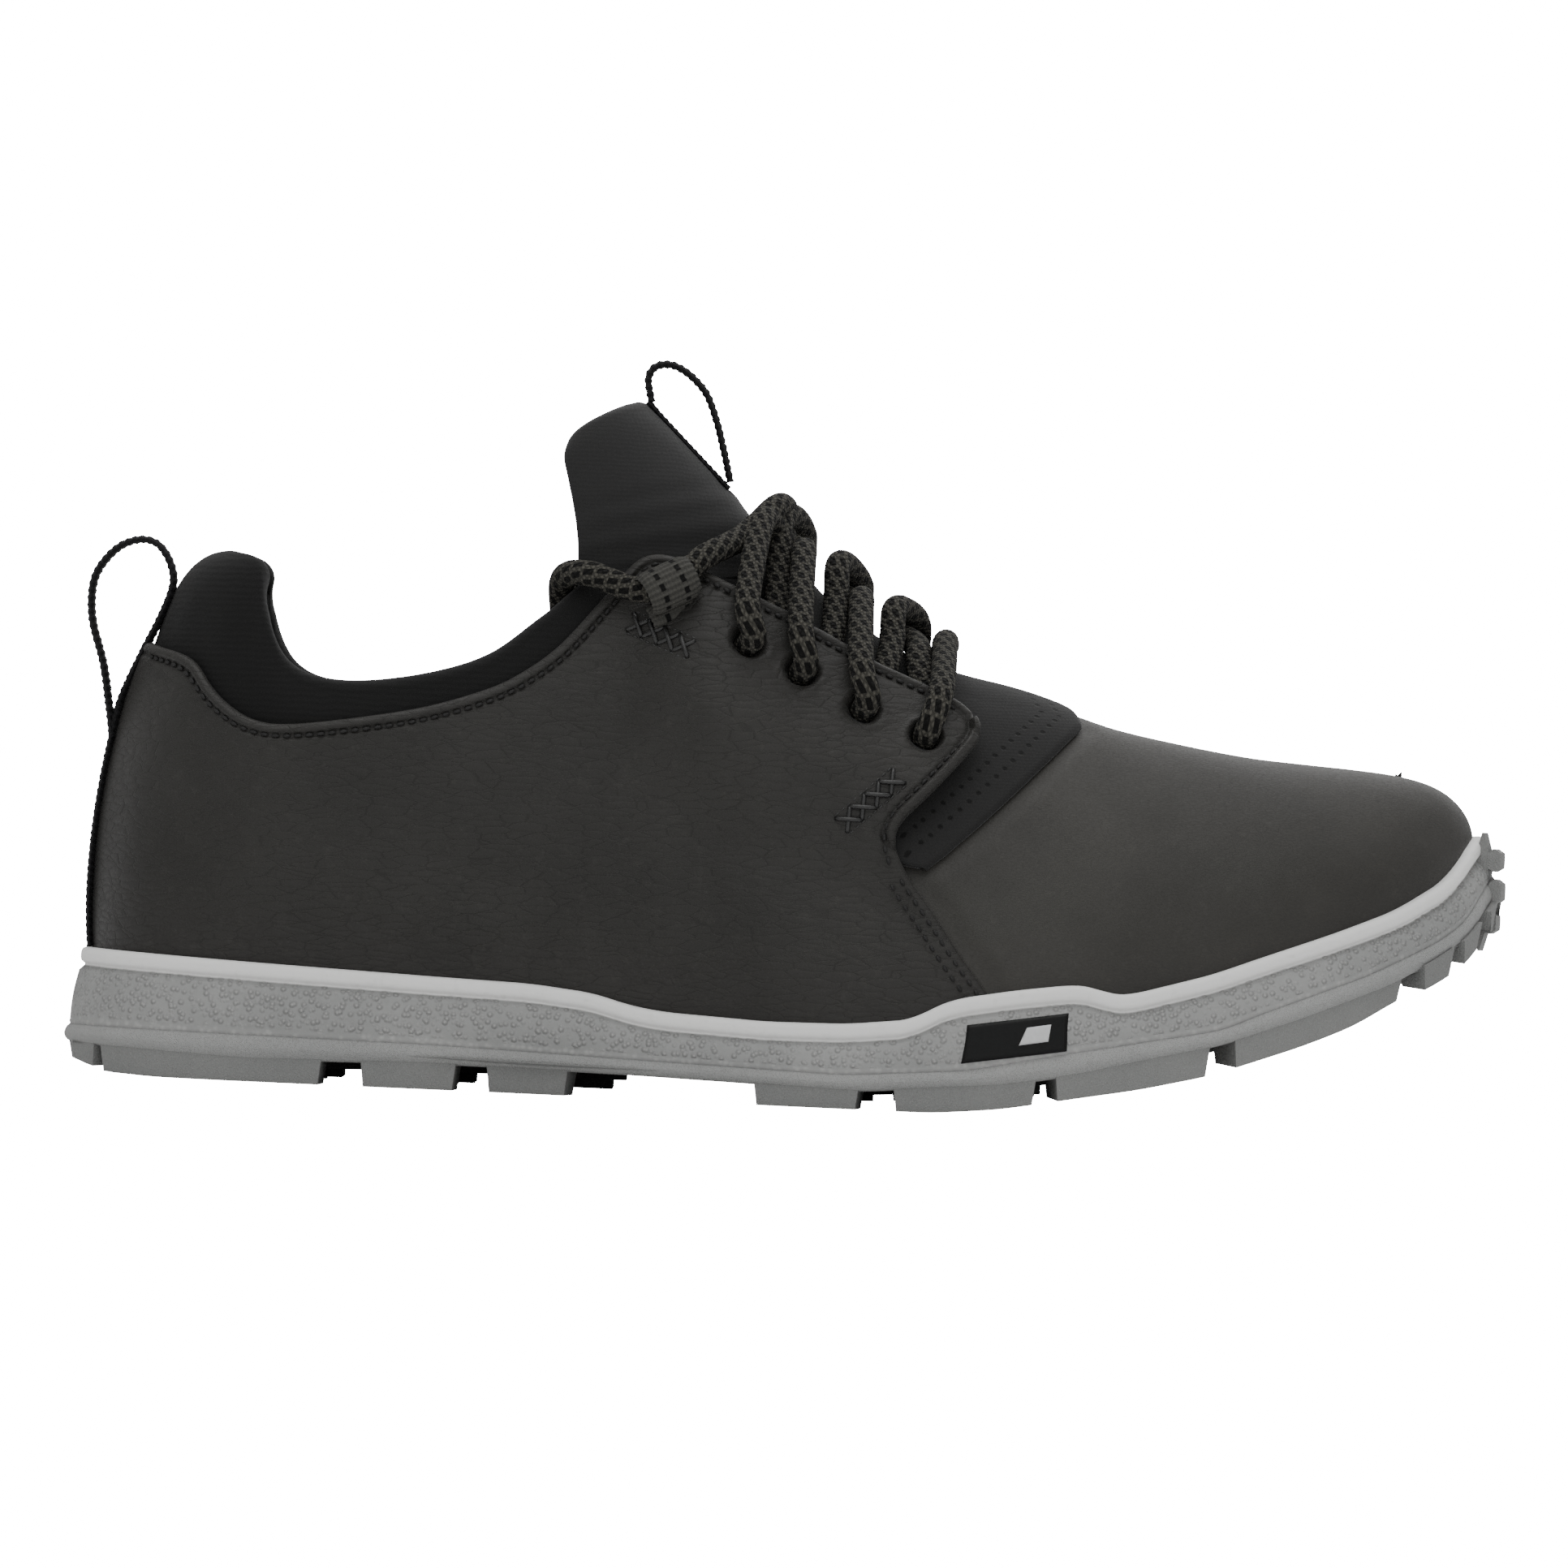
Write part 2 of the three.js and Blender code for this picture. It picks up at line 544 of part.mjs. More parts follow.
// ---------------------------------------------------------------- panels of the upper, in side view
const QUARTER_OUTLINE = [
  [-9, 4], [-9, 90.5], [21.3, 90.6], [24.3, 89.8], [28.6, 83], [32.6, 79], [37.5, 76], [45, 75.1],
  [57.6, 76.6], [74.7, 79.9], [88.2, 84.5], [94.9, 88.2], [101.5, 93.3], [108.5, 101.4], [113.8, 108],
  [117.8, 113.2], [121.2, 114.2], [126.4, 113.8], [137.8, 108.2], [147.4, 104.2], [157.9, 99.1],
  [168.5, 93.6], [179, 89.2], [186, 86.1], [189.4, 83.6], [190.9, 80.6], [190.4, 77.4], [184.9, 70.6],
  [175.6, 60.6], [174, 57.4], [174.6, 54], [177.7, 48], [182.7, 41.3], [188.2, 33.5], [194.6, 25.2],
  [201, 15], [203, 4],
];
const BACKING_OUTLINE = [
  [73, 4], [73, 78.4], [88.2, 83], [94.9, 86.7], [103, 93.5], [114, 106.4], [118.6, 111.4], [126, 111.8],
  [137.2, 106.4], [157.2, 97.3], [178.4, 87.4], [187.4, 82.8], [188.6, 79], [173, 61.5], [171.6, 56],
  [180.5, 41], [192.5, 24.5], [199, 15], [200, 4],
];
const VAMP_REAR = [
  [214, 90], [211.5, 82.4], [203.7, 74], [190.5, 60.6], [178.1, 48.2], [183, 41.6], [188.6, 33.8],
  [195, 25.4], [201.4, 15.2], [203.4, 4],
];
const LACE_HOLES = [[179.4, 78.4], [166.3, 83.5], [153.1, 90.7], [141.8, 96.2]];
const FAR = 400; // beyond the shoe

function acrossSide(side, x, z, radius, distance) {
  // A punch through the eyestay, square to its face.
  const { point, normal } = spot(side, x, z, distance, true);
  const punch = new THREE.CylinderGeometry(radius, radius, 12, 16);
  punch.applyQuaternion(new THREE.Quaternion().setFromUnitVectors(new THREE.Vector3(0, 1, 0), normal));
  punch.translate(point.x, point.y, point.z);
  return solid(punch);
}

function panel(sheet, outline, side) {
  const y0 = side < 0 ? -90 : GAP / 2;
  const y1 = side < 0 ? -GAP / 2 : 90;
  return sheet.intersect(sidePrism(outline, y0, y1));
}

const liftedBacking = solid(shell(BACK_IN, BACK_OUT, { lifted: true }));
const liftedLeather = solid(shell(SKIN_IN, SKIN_OUT, { lifted: true }));
const vampSheet = solid(shell(SKIN_IN, VAMP_OUT));
const backingSheet = solid(shell(BACK_IN, BACK_OUT));

function punched(body, side) {
  let result = body;
  for (const [x, z] of LACE_HOLES) result = result.subtract(acrossSide(side, x, z, LACE_HOLE_D / 2, SKIN_IN));
  return result;
}

function vamp() {
  const outline = [...VAMP_REAR, [FAR, 4], [FAR, 90]];
  return vampSheet.intersect(sidePrism(outline, -90, 90));
}

function forefootBacking(rear, front) {
  return backingSheet.intersect(sidePrism([...rear, [front, 4], [front, 90]], -90, 90));
}

function instepPanel() {
  // Neoprene between the two quarters: it fills the throat and shows as a triangle on each side.
  const sheet = solid(shell(BACK_IN, BACK_IN + PANEL));
  const outline = [
    [146, 130], [147.6, 105.4], [158.2, 100.2], [168.8, 94.6], [179.3, 90.1], [186.4, 87], [189.8, 84.2],
    [191.4, 80.8], [190.9, 77.2], [176, 60.5], [174.5, 57.3], [175, 54.2], [177.7, 48.8], [190, 60.7],
    [203.2, 74.1], [211, 82.4], [213.4, 90], [205, 130],
  ];
  return sheet.intersect(sidePrism(outline, -90, 90));
}

// ---------------------------------------------------------------- collar padding
function foamThickness(i, j) {
  const [, s] = COLUMNS[i];
  const rise = [0, 0, 0, 0.6, 3.2, 4.2, 2.8, 0][j];
  return rise * (1 - smooth(6.5, 9.5, s)) + (rise > 0 && s <= 9 ? 0.4 : 0);
}

function collarFoam() {
  return shell((i, j) => -(KNIT + GAP + foamThickness(i, j)), -(KNIT + GAP),
    { from: columnOf(1, 9), to: columnOf(-1, 9), low: 3, high: 6 });
}

function collarLining() {
  const outer = (i, j) => {
    const foam = COLUMNS[i][1] <= 9 ? foamThickness(i, j) : 0;
    return -(KNIT + GAP + (foam > 0 ? foam + GAP : 0));
  };
  return shell((i, j) => outer(i, j) - 1, outer);
}

// ---------------------------------------------------------------- tongue
const TONGUE_T = 4.2;
const TONGUE_LEVELS = [
  // front x and z, rear x and z, half width at the rear
  [143.6, 116.3, 105.2, 111.2, 25.4], [139.6, 123.8, 104.9, 116.4, 25], [134.3, 129.6, 103.9, 122.6, 24],
  [127.5, 136.6, 102.4, 128.9, 22.6], [121.5, 142.8, 101.2, 134, 21], [117.6, 147.2, 102.2, 138.2, 18.5],
];
const TONGUE_FAN = [-90, -68, -46, -28, -12, 0, 12, 28, 46, 68, 90];

function tonguePoint(level, degrees, inward) {
  const [frontX, frontZ, rearX, rearZ, half] = TONGUE_LEVELS[level];
  const a = THREE.MathUtils.degToRad(degrees);
  const x = rearX + (frontX - rearX - inward) * Math.cos(a);
  const y = (half - inward) * Math.sin(a);
  return new THREE.Vector3(x, y, rearZ + (frontZ - rearZ) * Math.cos(a) - inward * 0.25);
}

function tongue() {
  const sections = TONGUE_FAN.map((degrees) => {
    const outer = TONGUE_LEVELS.map((_, n) => tonguePoint(n, degrees, 0));
    const inner = TONGUE_LEVELS.map((_, n) => tonguePoint(n, degrees, TONGUE_T)).reverse();
    return [...outer, ...inner];
  });
  return facing(loft(sections, true));
}

// ---------------------------------------------------------------- webbing
function ribbon(path, thickness, width, y = 0) {
  // A flat band seen edge-on in side view, along a smooth path of x and z.
  const curve = new THREE.SplineCurve(path.map(([x, z]) => new THREE.Vector2(x, z)));
  const points = curve.getPoints(path.length * 2);
  const normalAt = (i) => {
    const a = points[Math.max(0, i - 1)];
    const b = points[Math.min(points.length - 1, i + 1)];
    return new THREE.Vector2(a.y - b.y, b.x - a.x).normalize().multiplyScalar(thickness / 2);
  };
  const left = points.map((p, i) => [p.x + normalAt(i).x, p.y + normalAt(i).y]);
  const right = points.map((p, i) => [p.x - normalAt(i).x, p.y - normalAt(i).y]).reverse();
  return sidePrism([...left, ...right], y - width / 2, y + width / 2);
}

const HEEL_LOOP = [
  [7.5, 73.6], [6.8, 79.2], [5.4, 87.7], [3, 94.5], [2.5, 99.6], [3, 104.2], [5, 107.8], [8.4, 110.9], [12.6, 112.6],
  [16, 111.6], [18.2, 108.4], [19.5, 105.3],
];
const TONGUE_LOOP = [
  [118.9, 148.9], [118, 151.2], [119, 153.2], [120.8, 154.3], [123.6, 154.1], [126.9, 152.2], [130.4, 148.5],
  [132.8, 142.8], [134.6, 136.6], [136.6, 131.8],
];

function heelTape() {
  const sheet = solid(shell(SKIN_OUT + GAP, SKIN_OUT + GAP + WEBBING));
  const strip = sidePrism([[-12, 27.6], [30, 27.6], [30, 72.6], [-12, 72.6]], -TAPE_W / 2, TAPE_W / 2);
  return sheet.intersect(strip);
}

function tongueTape() {
  // Webbing down the front of the tongue.
  const out = TONGUE_LEVELS.slice(1).map((_, n) => tonguePoint(n + 1, 0, -GAP));
  const path = out.map((p) => [p.x + WEBBING / 2, p.z + 0.2]);
  return ribbon(path.slice(0, 3), WEBBING, TAPE_W);
}

// ---------------------------------------------------------------- lace
const OVER = SKIN_OUT + LACE_D / 2 + 0.4; // lace on the leather
const UNDER = BACK_IN - LACE_D / 2 - 0.4; // lace under the lifted eyestay
const ON_PANEL = BACK_IN + PANEL + LACE_D / 2 + 0.4; // lace on the instep
const STACKED = ON_PANEL + LACE_D + 0.3; // lace on top of another
const LOOP_INNER = LACE_D / 2 + 1.3; // inner radius of the webbing loop
const IN_LOOP = SKIN_OUT + LOOP_INNER + WEBBING + 1.5; // lace inside its webbing loop
const LOOP_AT = [124.4, 107.2];

function over(x, y, distance) {
  // The point of a layer that shows at x and y from above.
  let best = null;
  for (let i = 0; i + 1 < COLUMNS.length; i += 1) {
    for (let j = 3; j < ROWS; j += 1) {
      const corners = [[i, j], [i + 1, j], [i + 1, j + 1], [i, j + 1]];
      for (const tri of [[0, 1, 2], [0, 2, 3]]) {
        const [a, b, c] = tri.map((n) => layered(...corners[n], distance));
        const area = (b.x - a.x) * (c.y - a.y) - (c.x - a.x) * (b.y - a.y);
        if (Math.abs(area) < 1e-6) continue;
        const v = ((x - a.x) * (c.y - a.y) - (c.x - a.x) * (y - a.y)) / area;
        const w = ((b.x - a.x) * (y - a.y) - (x - a.x) * (b.y - a.y)) / area;
        const miss = Math.max(0, -v, -w, v + w - 1);
        const z = a.z + v * (b.z - a.z) + w * (c.z - a.z);
        if (!best || miss < best.miss - 1e-9 || (miss <= best.miss && z > best.z)) best = { miss, z };
      }
    }
  }
  return new THREE.Vector3(x, y, best.z);
}

function at(side, x, z, distance) {
  return spot(side, x, z, distance, true).point;
}

function through(side, hole, inward) {
  // Points of the lace through one eyelet, from the outside to the inside, or the other way.
  const [x, z] = LACE_HOLES[hole];
  const { point, normal } = spot(side, x, z, SKIN_IN, true);
  const out = point.clone().addScaledVector(normal, OVER - SKIN_IN - 0.6);
  const middle = point.clone();
  const within = point.clone().addScaledVector(normal, UNDER - SKIN_IN + 0.5);
  return inward ? [out, middle, within] : [within, middle, out];
}

function crossing(side, from, to, middle, onTop, fromOutside = true) {
  // From one eyestay to the other: from and to are the x at each edge of the throat.
  const [a, b, c] = onTop ? [STACKED - 0.4, STACKED, STACKED - 0.8] : [ON_PANEL + 0.4, ON_PANEL, ON_PANEL + 0.1];
  return [
    over(from, side * 15, fromOutside ? OVER + EYESTAY_LIFT - 1.5 : ON_PANEL + 0.5),
    over(from, side * 7.5, a),
    over(middle, 0, b),
    over(to, -side * 7.5, c),
    over(to, -side * 13.5, ON_PANEL + 0.8),
  ];
}

function halfLace(side) {
  // One half of the lace, from the middle of the bar to the tip tucked into the collar.
  const far = -side;
  const first = side < 0;
  const free = (x, y, z) => new THREE.Vector3(x, side * y, z);
  const neck = first ? STACKED : ON_PANEL;
  return [
    over(183.4, 0, ON_PANEL + 2.4),
    over(183, side * 9, ON_PANEL + 3.4),
    at(side, 182.4, 87.8, OVER + 1.1),
    ...through(side, 0, true),
    at(side, 178.8, 86, UNDER + 0.3),
    ...crossing(side, 177.4, 171.8, 174.4, !first, false),
    at(far, 170, 90.4, UNDER + 0.3),
    ...through(far, 1, false),
    at(far, 165.4, 92, OVER + 2),
    ...crossing(far, 164.9, 159.6, 162.2, first),
    at(side, 158.6, 96.6, UNDER + 0.3),
    ...through(side, 2, false),
    at(side, 152.4, 99.2, OVER + 2),
    ...crossing(side, 152.4, 147.2, 149.8, !first),
    at(far, 146.6, 100.8, UNDER + 0.3),
    ...through(far, 3, false),
    at(far, 141, 104.2, OVER + 2),
    over(143.6, far * 16, OVER + 5),
    over(147.4, far * 8, neck + 1.2),
    over(148, 0, neck + 0.4),
    over(146, side * 9, neck + 1.6),
    free(139.6, 20.4, 118.4),
    free(131.4, 32.6, 113.5),
    at(side, ...LOOP_AT, IN_LOOP),
    at(side, 117.4, 106.1, IN_LOOP + 0.2),
    free(109.4, 33.4, 108.6),
    free(103.4, 29.4, 109.6),
    free(100.2, 23.6, 107.2),
    free(100.4, 19.4, 101.6),
    spot(side, 104, 93, -9.2).point,
    spot(side, 112, 83, -8).point,
    spot(side, 122, 74, -7.2).point,
    spot(side, 133, 66, -6.9).point,
    spot(side, 143, 59.4, -7).point,
  ];
}

const HALF_LACES = SIDES.map((side) => halfLace(side));

function lace() {
  const points = [...HALF_LACES[0].slice().reverse(), ...HALF_LACES[1].slice(1)];
  const path = new THREE.CatmullRomCurve3(points, false, 'centripetal');
  const ring = new THREE.Shape();
  ring.absarc(0, 0, LACE_D / 2, 0, Math.PI * 2);
  const steps = Math.round(path.getLength() / (LACE_D * 0.95));
  return new THREE.ExtrudeGeometry(ring, { steps, curveSegments: 4, bevelEnabled: false, extrudePath: path });
}

function aglet(side) {
  // Stiff tip of the lace.
  const half = HALF_LACES[side < 0 ? 0 : 1];
  const end = half[half.length - 1];
  const run = end.clone().sub(half[half.length - 2]).normalize();
  const tip = new THREE.CylinderGeometry(1.9, 2.3, 19, 12);
  tip.applyQuaternion(new THREE.Quaternion().setFromUnitVectors(new THREE.Vector3(0, 1, 0), run));
  const middle = end.clone().addScaledVector(run, 9.5 + GAP);
  tip.translate(middle.x, middle.y, middle.z);
  return tip;
}

function laceLoop(side) {
  // Webbing band that holds the lace below the tab, with its foot on the leather.
  const { point, normal } = spot(side, ...LOOP_AT, IN_LOOP, true);
  const half = HALF_LACES[side < 0 ? 0 : 1];
  const n = half.findIndex((p) => p.distanceTo(point) < 0.01);
  const run = half[n + 1].clone().sub(half[n - 1]).normalize();
  const out = normal.clone().addScaledVector(run, -normal.dot(run)).normalize();
  const down = run.clone().cross(out).normalize();
  if (down.z > 0) down.negate();
  const frame = new THREE.Matrix4().makeBasis(down, out, down.clone().cross(out));
  const band = new THREE.Shape();
  band.absarc(0, 0, LOOP_INNER + WEBBING, 0, Math.PI * 2);
  const hole = new THREE.Path();
  hole.absarc(0, 0, LOOP_INNER, 0, Math.PI * 2, true);
  band.holes.push(hole);
  const ring = new THREE.ExtrudeGeometry(band, { depth: 5, bevelEnabled: false, curveSegments: 6 });
  ring.translate(0, 0, -2.5);
  const foot = new THREE.BoxGeometry(6, WEBBING, 4.6);
  foot.translate(2, -LOOP_INNER - WEBBING / 2 + 0.25, 0);
  const body = solid(ring).add(solid(foot));
  const g = geometryOf(body);
  g.applyMatrix4(frame);
  g.translate(point.x, point.y, point.z);
  return facing(g);
}

// ---------------------------------------------------------------- badge on the outer wall
const BADGE = [[190.6, 11.6], [211.4, 15], [211.8, 21.6], [191.4, 18.2]];
const EMBLEM = [[198.4, 14.4], [203.6, 15.2], [204, 19], [198.8, 18.2]];

function wallPlate(outline, inward, outward) {
  // A thin plate that lies along the outer wall, its outline given in side view.
  const corners = outline.map(([x, z]) => {
    const s = stationAt(-1, x);
    const [px, py] = edgePoint(-1, s, 2.2);
    return new THREE.Vector3(px, py, z);
  });
  const plate = [corners.map((p) => p.clone().setY(p.y - inward)), corners.map((p) => p.clone().setY(p.y - outward))];
  return facing(loft(plate, true));
}

// ---------------------------------------------------------------- cross stitches
const CROSS_STITCHES = { upper: [[116.7, 98.3], [129.8, 93.4]], lower: [[162.3, 58.5], [173.6, 69]] };

function crossStitch(side, ends) {
  // A bar of thick thread lying on the leather between two points.
  const [a, b] = ends.map(([x, z]) => spot(side, x, z, SKIN_OUT + GAP, true));
  const along = b.point.clone().sub(a.point);
  const out = a.normal.clone().add(b.normal).normalize();
  const bar = new THREE.BoxGeometry(along.length(), 1, 3.4);
  const frame = new THREE.Matrix4();
  const x = along.clone().normalize();
  const z = x.clone().cross(out).normalize();
  frame.makeBasis(x, z.clone().cross(x), z);
  bar.applyMatrix4(frame);
  const middle = a.point.clone().add(b.point).multiplyScalar(0.5).addScaledVector(out, 1.3);
  bar.translate(middle.x, middle.y, middle.z);
  return facing(bar);
}

// ---------------------------------------------------------------- assembly
const shoe = new THREE.Group();

function add(name, shape, colour, roughness, metalness = 0) {
  const geometry = shape instanceof THREE.BufferGeometry ? shape : geometryOf(shape);
  const material = new THREE.MeshStandardMaterial({ color: colour, roughness, metalness });
  const mesh = new THREE.Mesh(geometry, material);
  mesh.name = name;
  shoe.add(mesh);
}

const NAMES = { [-1]: 'lateral', [1]: 'medial' };

add('outsole', outsole(), '#8a8a88', 0.6);
add('midsole', midsole(), '#a8a8a6', 0.75);
add('tread_insert_heel', treadInsert(HEEL_INSERT, HEEL_RIBS), '#1d1d1e', 0.7);
add('tread_insert_forefoot', treadInsert(FOREFOOT_INSERT, FOREFOOT_RIBS), '#39393a', 0.7);
add('sidewall_badge', wallPlate(BADGE, 0.4, 1.2), '#111112', 0.35);
add('badge_emblem', wallPlate(EMBLEM, 1.5, 1.9), '#b9b9b7', 0.4);
add('strobel_board', insideBoard(-3.1, 0.1, 1.4), '#b8b2a4', 0.9);
add('insole_foam', insideBoard(-5.4, 1.8, 1.8 + FOOTBED), '#5b5b5c', 0.9);
add('insole_cover', insideBoard(-5.4, 2.1 + FOOTBED, 3.1 + FOOTBED), '#2a2a2b', 0.95);
add('heel_counter', shell(BACK_IN, BACK_OUT, { from: columnOf(1, 5), to: columnOf(-1, 5), high: 4 }), '#6f6a62', 0.8);
add('toe_puff', forefootBacking([[256, 90], [256, 4]], FAR), '#6f6a62', 0.8);
add('vamp_backing', forefootBacking(VAMP_REAR.map(([x, z]) => [x + 0.6, z]), 255.6), '#4a4846', 0.9);
add('bootie', shell(-KNIT, 0), '#1e1e1e', 0.95);
add('collar_foam', collarFoam(), '#77756f', 0.95);
add('collar_lining', collarLining(), '#262626', 0.95);
add('vamp', vamp(), '#3a3937', 0.6);
add('instep_panel', instepPanel(), '#2f2f2f', 0.9);
for (const side of SIDES) {
  add(`quarter_${NAMES[side]}`, punched(panel(liftedLeather, QUARTER_OUTLINE, side), side), '#2b2a29', 0.55);
  add(`saddle_backing_${NAMES[side]}`, punched(panel(liftedBacking, BACKING_OUTLINE, side), side), '#5a5650', 0.85);
  for (const [place, ends] of Object.entries(CROSS_STITCHES)) {
    add(`cross_stitch_${place}_${NAMES[side]}`, crossStitch(side, ends), '#454442', 0.45);
  }
}
add('heel_tape', heelTape(), '#171717', 0.85);
add('heel_pull_loop', ribbon(HEEL_LOOP, WEBBING, TAPE_W), '#171717', 0.85);
add('tongue', tongue(), '#2c2c2c', 0.9);
add('tongue_tape', tongueTape(), '#171717', 0.85);
add('tongue_pull_loop', ribbon(TONGUE_LOOP, WEBBING, TAPE_W), '#171717', 0.85);
add('lace', lace(), '#4b4a44', 0.9);
for (const side of SIDES) {
  add(`aglet_${NAMES[side]}`, aglet(side), '#151515', 0.35);
  add(`lace_loop_${NAMES[side]}`, laceLoop(side), '#4a4948', 0.8);
}

shoe.updateMatrixWorld(true);
const box = new THREE.Box3().setFromObject(shoe, true);
shoe.position.set(-(box.min.x + box.max.x) / 2, -(box.min.y + box.max.y) / 2, -box.min.z);
shoe.updateMatrixWorld(true);

export default shoe;
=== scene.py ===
"""Golf shoe, right foot: the visible pieces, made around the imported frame."""
import math

import bmesh
import bpy
import numpy as np
from mathutils import Matrix, Vector, noise


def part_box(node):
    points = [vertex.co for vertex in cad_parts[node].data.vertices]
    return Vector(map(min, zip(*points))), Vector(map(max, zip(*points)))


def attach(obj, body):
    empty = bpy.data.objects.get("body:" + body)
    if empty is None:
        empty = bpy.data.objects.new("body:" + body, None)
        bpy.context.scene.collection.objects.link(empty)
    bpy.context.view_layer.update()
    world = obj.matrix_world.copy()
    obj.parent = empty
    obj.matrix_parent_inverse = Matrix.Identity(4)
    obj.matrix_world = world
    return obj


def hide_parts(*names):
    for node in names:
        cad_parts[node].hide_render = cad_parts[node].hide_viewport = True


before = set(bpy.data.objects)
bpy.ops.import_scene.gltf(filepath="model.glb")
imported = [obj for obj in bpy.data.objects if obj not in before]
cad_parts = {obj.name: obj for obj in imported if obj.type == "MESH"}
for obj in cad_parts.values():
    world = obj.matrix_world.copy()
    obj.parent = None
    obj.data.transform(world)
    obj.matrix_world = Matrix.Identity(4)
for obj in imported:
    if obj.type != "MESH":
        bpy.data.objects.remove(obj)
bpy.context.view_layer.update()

bl_info = {
    "name": "Golf Shoe",
    "version": (1, 0, 0),
    "blender": (4, 5, 0),
    "location": "View3D > Sidebar > Golf Shoe",
    "description": "Builds the visible pieces of a spikeless golf shoe around its frame",
    "category": "Add Mesh",
}

MM = 0.001
BODY = "shoe"
FLAP = "tongue_flap"
FOOTBED = "footbed"
SIDES = {-1: "lateral", 1: "medial"}

# Plan outline of the bead in mm, from the heel to the tip of the toe: x and y of each side.
PLAN = {
    -1: [(0.5, 0), (2.5, -12), (9.5, -23.5), (21, -31.5), (37, -36.4), (56, -38.2), (76, -38.8),
         (97, -40.2), (117, -43.6), (136, -48), (153, -51.8), (169, -54.2), (184, -55), (199, -54.6),
         (214, -52.6), (229, -49.6), (244, -45.6), (258, -40.4), (271, -34), (283, -25.6),
         (292.5, -15.6), (299.4, -4), (302.3, 9.5)],
    1: [(0.5, 0), (2.5, 12), (9.5, 23.2), (21, 31), (37, 35), (56, 36), (76, 35.5), (97, 34.8),
        (117, 35.6), (136, 38), (153, 41.6), (169, 45.6), (184, 49.3), (199, 52), (215, 53.3),
        (231, 53), (247, 51.2), (262, 48.2), (275.5, 44), (287, 38), (295.4, 30.4), (300.6, 20.8),
        (302.3, 9.5)],
}
LAST = len(PLAN[1]) - 1
# Ribs of the bootie at each plan station: swell and lead of the lower handle, its height, the upper
# handle (x, y, z), the top (x, z), half width at the top and the y of the middle line.
RIBS = np.array([
    (0, -6.5, 50, 17, 0, 108, 30.5, 110, 0, 0),
    (1, -3, 49, 20.5, 12.5, 105, 32.5, 109.9, 9.5, 0),
    (2, -2, 48, 28.5, 22, 100, 37.4, 107.6, 17.5, 0),
    (3, -1, 46, 37, 28, 90, 40, 98.6, 22.5, 0),
    (4, 0, 44, 44.5, 31.5, 73, 45.5, 88, 26.5, 0),
    (4, 0, 42, 57, 33.5, 68, 56, 84.6, 29.5, 0),
    (4, 0, 40, 74, 34, 68, 72, 86.1, 31, 0),
    (4, 0, 38, 92, 34, 72, 87, 91, 30.5, 0),
    (4, 0, 36, 107, 33.5, 82, 98.5, 100, 28.5, 0),
    (4, 0, 34, 121, 33, 92, 110, 109.4, 25.6, 0),
    (4, 0, 34, 136, 31, 99, 126, 112.4, 20.5, 0),
    (4, 0, 34, 149, 27, 108, 143.4, 115.2, 0, 0),
    (4, 0, 34, 165, 26, 99, 158, 103.4, 0, 0),
    (4, 0, 34, 180, 26, 91.5, 171, 95, 0, 0),
    (4, 1, 36, 197, 26, 86, 185, 89.2, 0, 0),
    (4, 1, 38, 214, 26, 82.4, 200, 84.6, 0, 0.5),
    (4, 1, 40, 231, 25, 79, 215, 79.2, 0, 1),
    (4.5, 2, 44, 247, 25, 76, 231, 76, 0, 2),
    (4.5, 2, 47, 261, 24, 74, 246, 73.8, 0, 3.5),
    (4, 2, 51, 273, 21, 73, 259, 72.8, 0, 5),
    (3, 3, 56, 283, 16, 72, 269, 72.2, 0, 6.5),
    (1.5, 4, 60, 289, 9, 71, 276, 71.6, 0, 7.5),
    (0, 3.2, 62, 291.5, 0, 70, 280, 70.9, 0, 8.2),
], dtype=float)
RIDGE_FROM = 11.0  # first station whose rib ends on the instep ridge
FOOT_INSET = 9.7

# Side profiles of the sole: height against length, in mm.
FEATHER = [(0, 20.5), (60, 18.6), (104, 15.6), (126, 13.2), (146, 12.6), (165, 13), (180, 14.8),
           (195, 17.5), (210, 20), (225, 22.5), (245, 27.5), (262, 32.8), (277, 38.6), (288, 44.5),
           (296, 50.5), (302.3, 57)]
RIM_TOP = [(0, 26.4), (39, 25), (79, 23.6), (99, 23), (112, 21.6), (118.5, 19.6), (126, 18.4),
           (148, 17.4), (165, 17.7), (179, 19.2), (183, 21.8), (188, 23.9), (201, 26.2), (213, 27.8),
           (217, 27.6), (221, 26), (225, 26.2), (243, 31.2), (254, 35.3), (269, 40.6), (283, 46),
           (295, 53), (302.3, 63.5)]
BEAD_TOP = [(0, 10.3), (40, 10), (79, 9.6), (120, 8.4), (165, 7.3), (191, 9.3), (212, 13.7),
            (244, 19.8), (253, 23.8), (275, 32.4), (291, 40.4), (298, 46.2), (302.3, 56.5)]
BEAD_BOTTOM = [(0, 6.2), (40, 4.6), (80, 5.4), (120, 5), (146, 4.4), (168, 3.8), (199, 6.3), (214, 9),
               (227, 12.3), (244, 16.3), (261, 22.4), (281, 30.6), (291, 36.6), (298, 42), (302.3, 51)]
LUG_BOTTOM = [(0, 3.2), (8, 0.6), (21, 0), (184, 0), (198, 1.3), (209, 3.3), (227, 6.5), (242, 10),
              (261, 16.7), (272, 21.3), (282, 27.4), (290, 31.5), (296, 36), (302.3, 46)]

# Layers of the upper, in mm outside the bootie's face.
BACK_OUT = 1.5
SKIN_IN = 1.8
SKIN_OUT = 3.4
VAMP_OUT = 3.0
PANEL_OUT = 2.2
EYESTAY_LIFT = 7.2
LACE_D = 5.4

